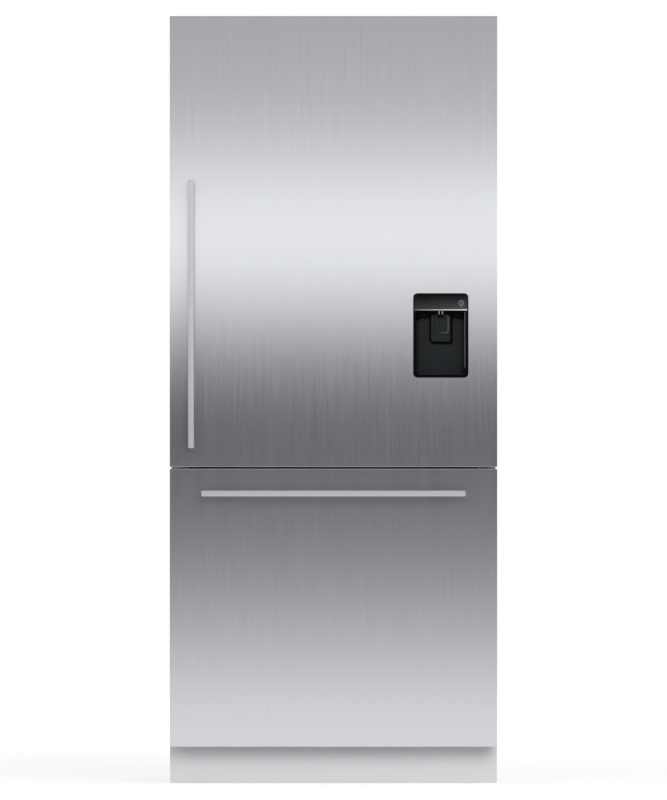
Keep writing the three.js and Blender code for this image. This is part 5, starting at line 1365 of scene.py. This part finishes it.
def slab_and_seal(body, top, pocket=None):
    """A wrapped foam slab with soft rims, its pocket for the dispenser's box, and the gasket behind it."""
    x, y, (low, _) = span(body + "_core")
    profile = soften([(14, y[1]), (0, y[1]), (0, CORE_FRONT), (14, CORE_FRONT)], [0, 3, 2, 0], 4)
    loops = hoops("y", (*x, low, top), 4, profile)
    if pocket:
        rect, floor = pocket
        loops = np.concatenate([loops, hoops("y", rect, 12, [(0, CORE_FRONT), (0, floor), (4, floor)])])
    piece(body + "_slab", "case_paint", skin(loops), body + "_core")
    x, (front, back), z = span(body + "_gasket")
    wide = 24  # the bellows' ring section has a foot, two folds and a magnet pocket
    section = closed([(2, front), (wide - 2, front), (wide, front + 1.6), (wide - 4, front + 3), (wide, front + 4.4),
                      (wide - 1, back), (1, back), (0, front + 4.4), (4, front + 3), (0, front + 1.6)], 0.7, 2)
    piece(body + "_seal", "grey_rubber", around("y", (*x, *z), 14, section, ring=True, arc=5), body + "_gasket")


def door_liner():
    """A liner with its dykes, three raised fields and bosses for the bins."""
    x, (front, crest), z = span("door_liner")
    profile = soften([(20, front), (0, front), (3, crest), (11, crest), (14.6, front + 3), (40, front + 3)],
                     [0, 0.5, 4, 3, 8, 0], 5)
    fields = [block((-330, 330), (front + 2, front + 5.5), run, 2.4, 14, "y")
              for run in ((1100, 1330), (1480, 1690), (1840, 1990))]
    bosses = repeat(block((-16.6, -12), (-18, 18), (-9, 9), 1.4, 3),
                    [(x[1], -192, span(node)[2][0] + 30) for node in DOOR_BINS])
    piece("door_liner_moulding", "liner_white",
          join(around("y", (*x, *z), 18, profile), *fields, bosses, mirrored(bosses)), "door_liner")


def door_bin(node):
    x, y, z = span(node)
    piece(node + "_clear", "clear_plastic", tub(x, y, z, 2.5, 16, 1.4, 3), node)
    band = around("z", (*within(x, 0.4), y[0] + 40, y[1] - 0.2), (16, 16, 0.5, 0.5),
                  rounded((0, 1.6), (z[1] - 24, z[1] - 6), 0.4, 2), ring=True)
    piece(node + "_band", "trim_white", band, body="door")
    ribs = bars("y", within(y, 14), 1.2, np.linspace(-320, 320, 17), z[0] + 3)
    piece(node + "_ribs", "clear_plastic", ribs, body="door")


def hinges():
    """Each hinge is a plate with its pin; the upper one has bolts and a cover, the lower one an upright leaf."""
    centre = pivot("door_hinge")[:2]
    x, y, (low, high) = span("top_hinge")
    plate = block(x, y, (high - 4, high), 0.9, (5, 5, 9.9, 9.9))
    pin = soften([(3, low), (5, low + 1.5), (5, high - 4), (7, high - 4), (7, high - 0.2), (3, high)], 0.8, 2)
    bolts = screws("z", [(at, back, high - 0.2) for at in within(x, 14, 12) for back in (-168, -196)], 1, 5, 2.4)
    piece("top_hinge_bracket", "bracket_zinc", join(plate, turned("z", centre, pin, 24), bolts), "top_hinge")
    cover = soften([(3, 2110.2), (0, 2110.2), (2.5, 2124.5), (14, 2126)], [0, 0.6, 5, 0], 4)
    piece("top_hinge_cover", "grey_plastic", around("z", (x[0] - 8, x[1] - 1, -212, y[1] + 16), 9, cover))
    x, y, (low, high) = span("bottom_hinge")
    plate = block(x, y, (high - 24, high - 20), 0.9, (3, 3, 9, 9))
    leaf = block((x[1] - 14, x[1]), (y[1] - 2.5, y[1]), (low, high - 20), 0.8, 2, "y")
    pin = soften([(7.5, high - 20.2), (7.5, high - 18.8), (5, high - 18.8), (5, high - 1.5), (3, high)], 0.6, 2)
    piece("bottom_hinge_bracket", "bracket_zinc", join(plate, leaf, turned("z", centre, pin, 24)), "bottom_hinge")


class RefrigeratorDoorBacks(bpy.types.Operator):
    """Slabs, liner, seals, door bins and hinges"""
    bl_idname = "refrigerator.door_backs"
    bl_label = "Door and drawer backs"

    def execute(self, context):
        slab_and_seal("door", 2106.0, (opening("dispenser_housing", 0.2), -242.0))
        slab_and_seal("drawer", span("drawer_core")[2][1])
        door_liner()
        for node in DOOR_BINS:
            door_bin(node)
        hinges()
        return {"FINISHED"}


# ---------------------------------------------------------------- sidebar and registration

STEPS = (RefrigeratorStage, RefrigeratorPanels, RefrigeratorHandles, RefrigeratorDispenser, RefrigeratorCabinet,
         RefrigeratorStand, RefrigeratorMachinery, RefrigeratorFridge, RefrigeratorFreezer, RefrigeratorDoorBacks)


class RefrigeratorSidebar(bpy.types.Panel):
    """Lists the steps that dress the refrigerator"""
    bl_idname = "VIEW3D_PT_refrigerator"
    bl_label = "Refrigerator"
    bl_space_type = "VIEW_3D"
    bl_region_type = "UI"
    bl_category = "Refrigerator"

    def draw(self, context):
        for group in (context.scene.refrigerator_colours, context.scene.refrigerator_sizes):
            box = self.layout.box()
            for label in group.__annotations__:
                box.prop(group, label)
        for step in STEPS:
            self.layout.operator(step.bl_idname)


CLASSES = (RefrigeratorColours, RefrigeratorSizes, *STEPS, RefrigeratorSidebar)


def register():
    for item in CLASSES:
        bpy.utils.register_class(item)
    bpy.types.Scene.refrigerator_colours = PointerProperty(type=RefrigeratorColours)
    bpy.types.Scene.refrigerator_sizes = PointerProperty(type=RefrigeratorSizes)


def unregister():
    del bpy.types.Scene.refrigerator_sizes, bpy.types.Scene.refrigerator_colours
    for item in reversed(CLASSES):
        bpy.utils.unregister_class(item)


def main():
    register()
    for step in STEPS:
        family, label = step.bl_idname.split(".")
        getattr(getattr(bpy.ops, family), label)()


if __name__ == "__main__":
    main()
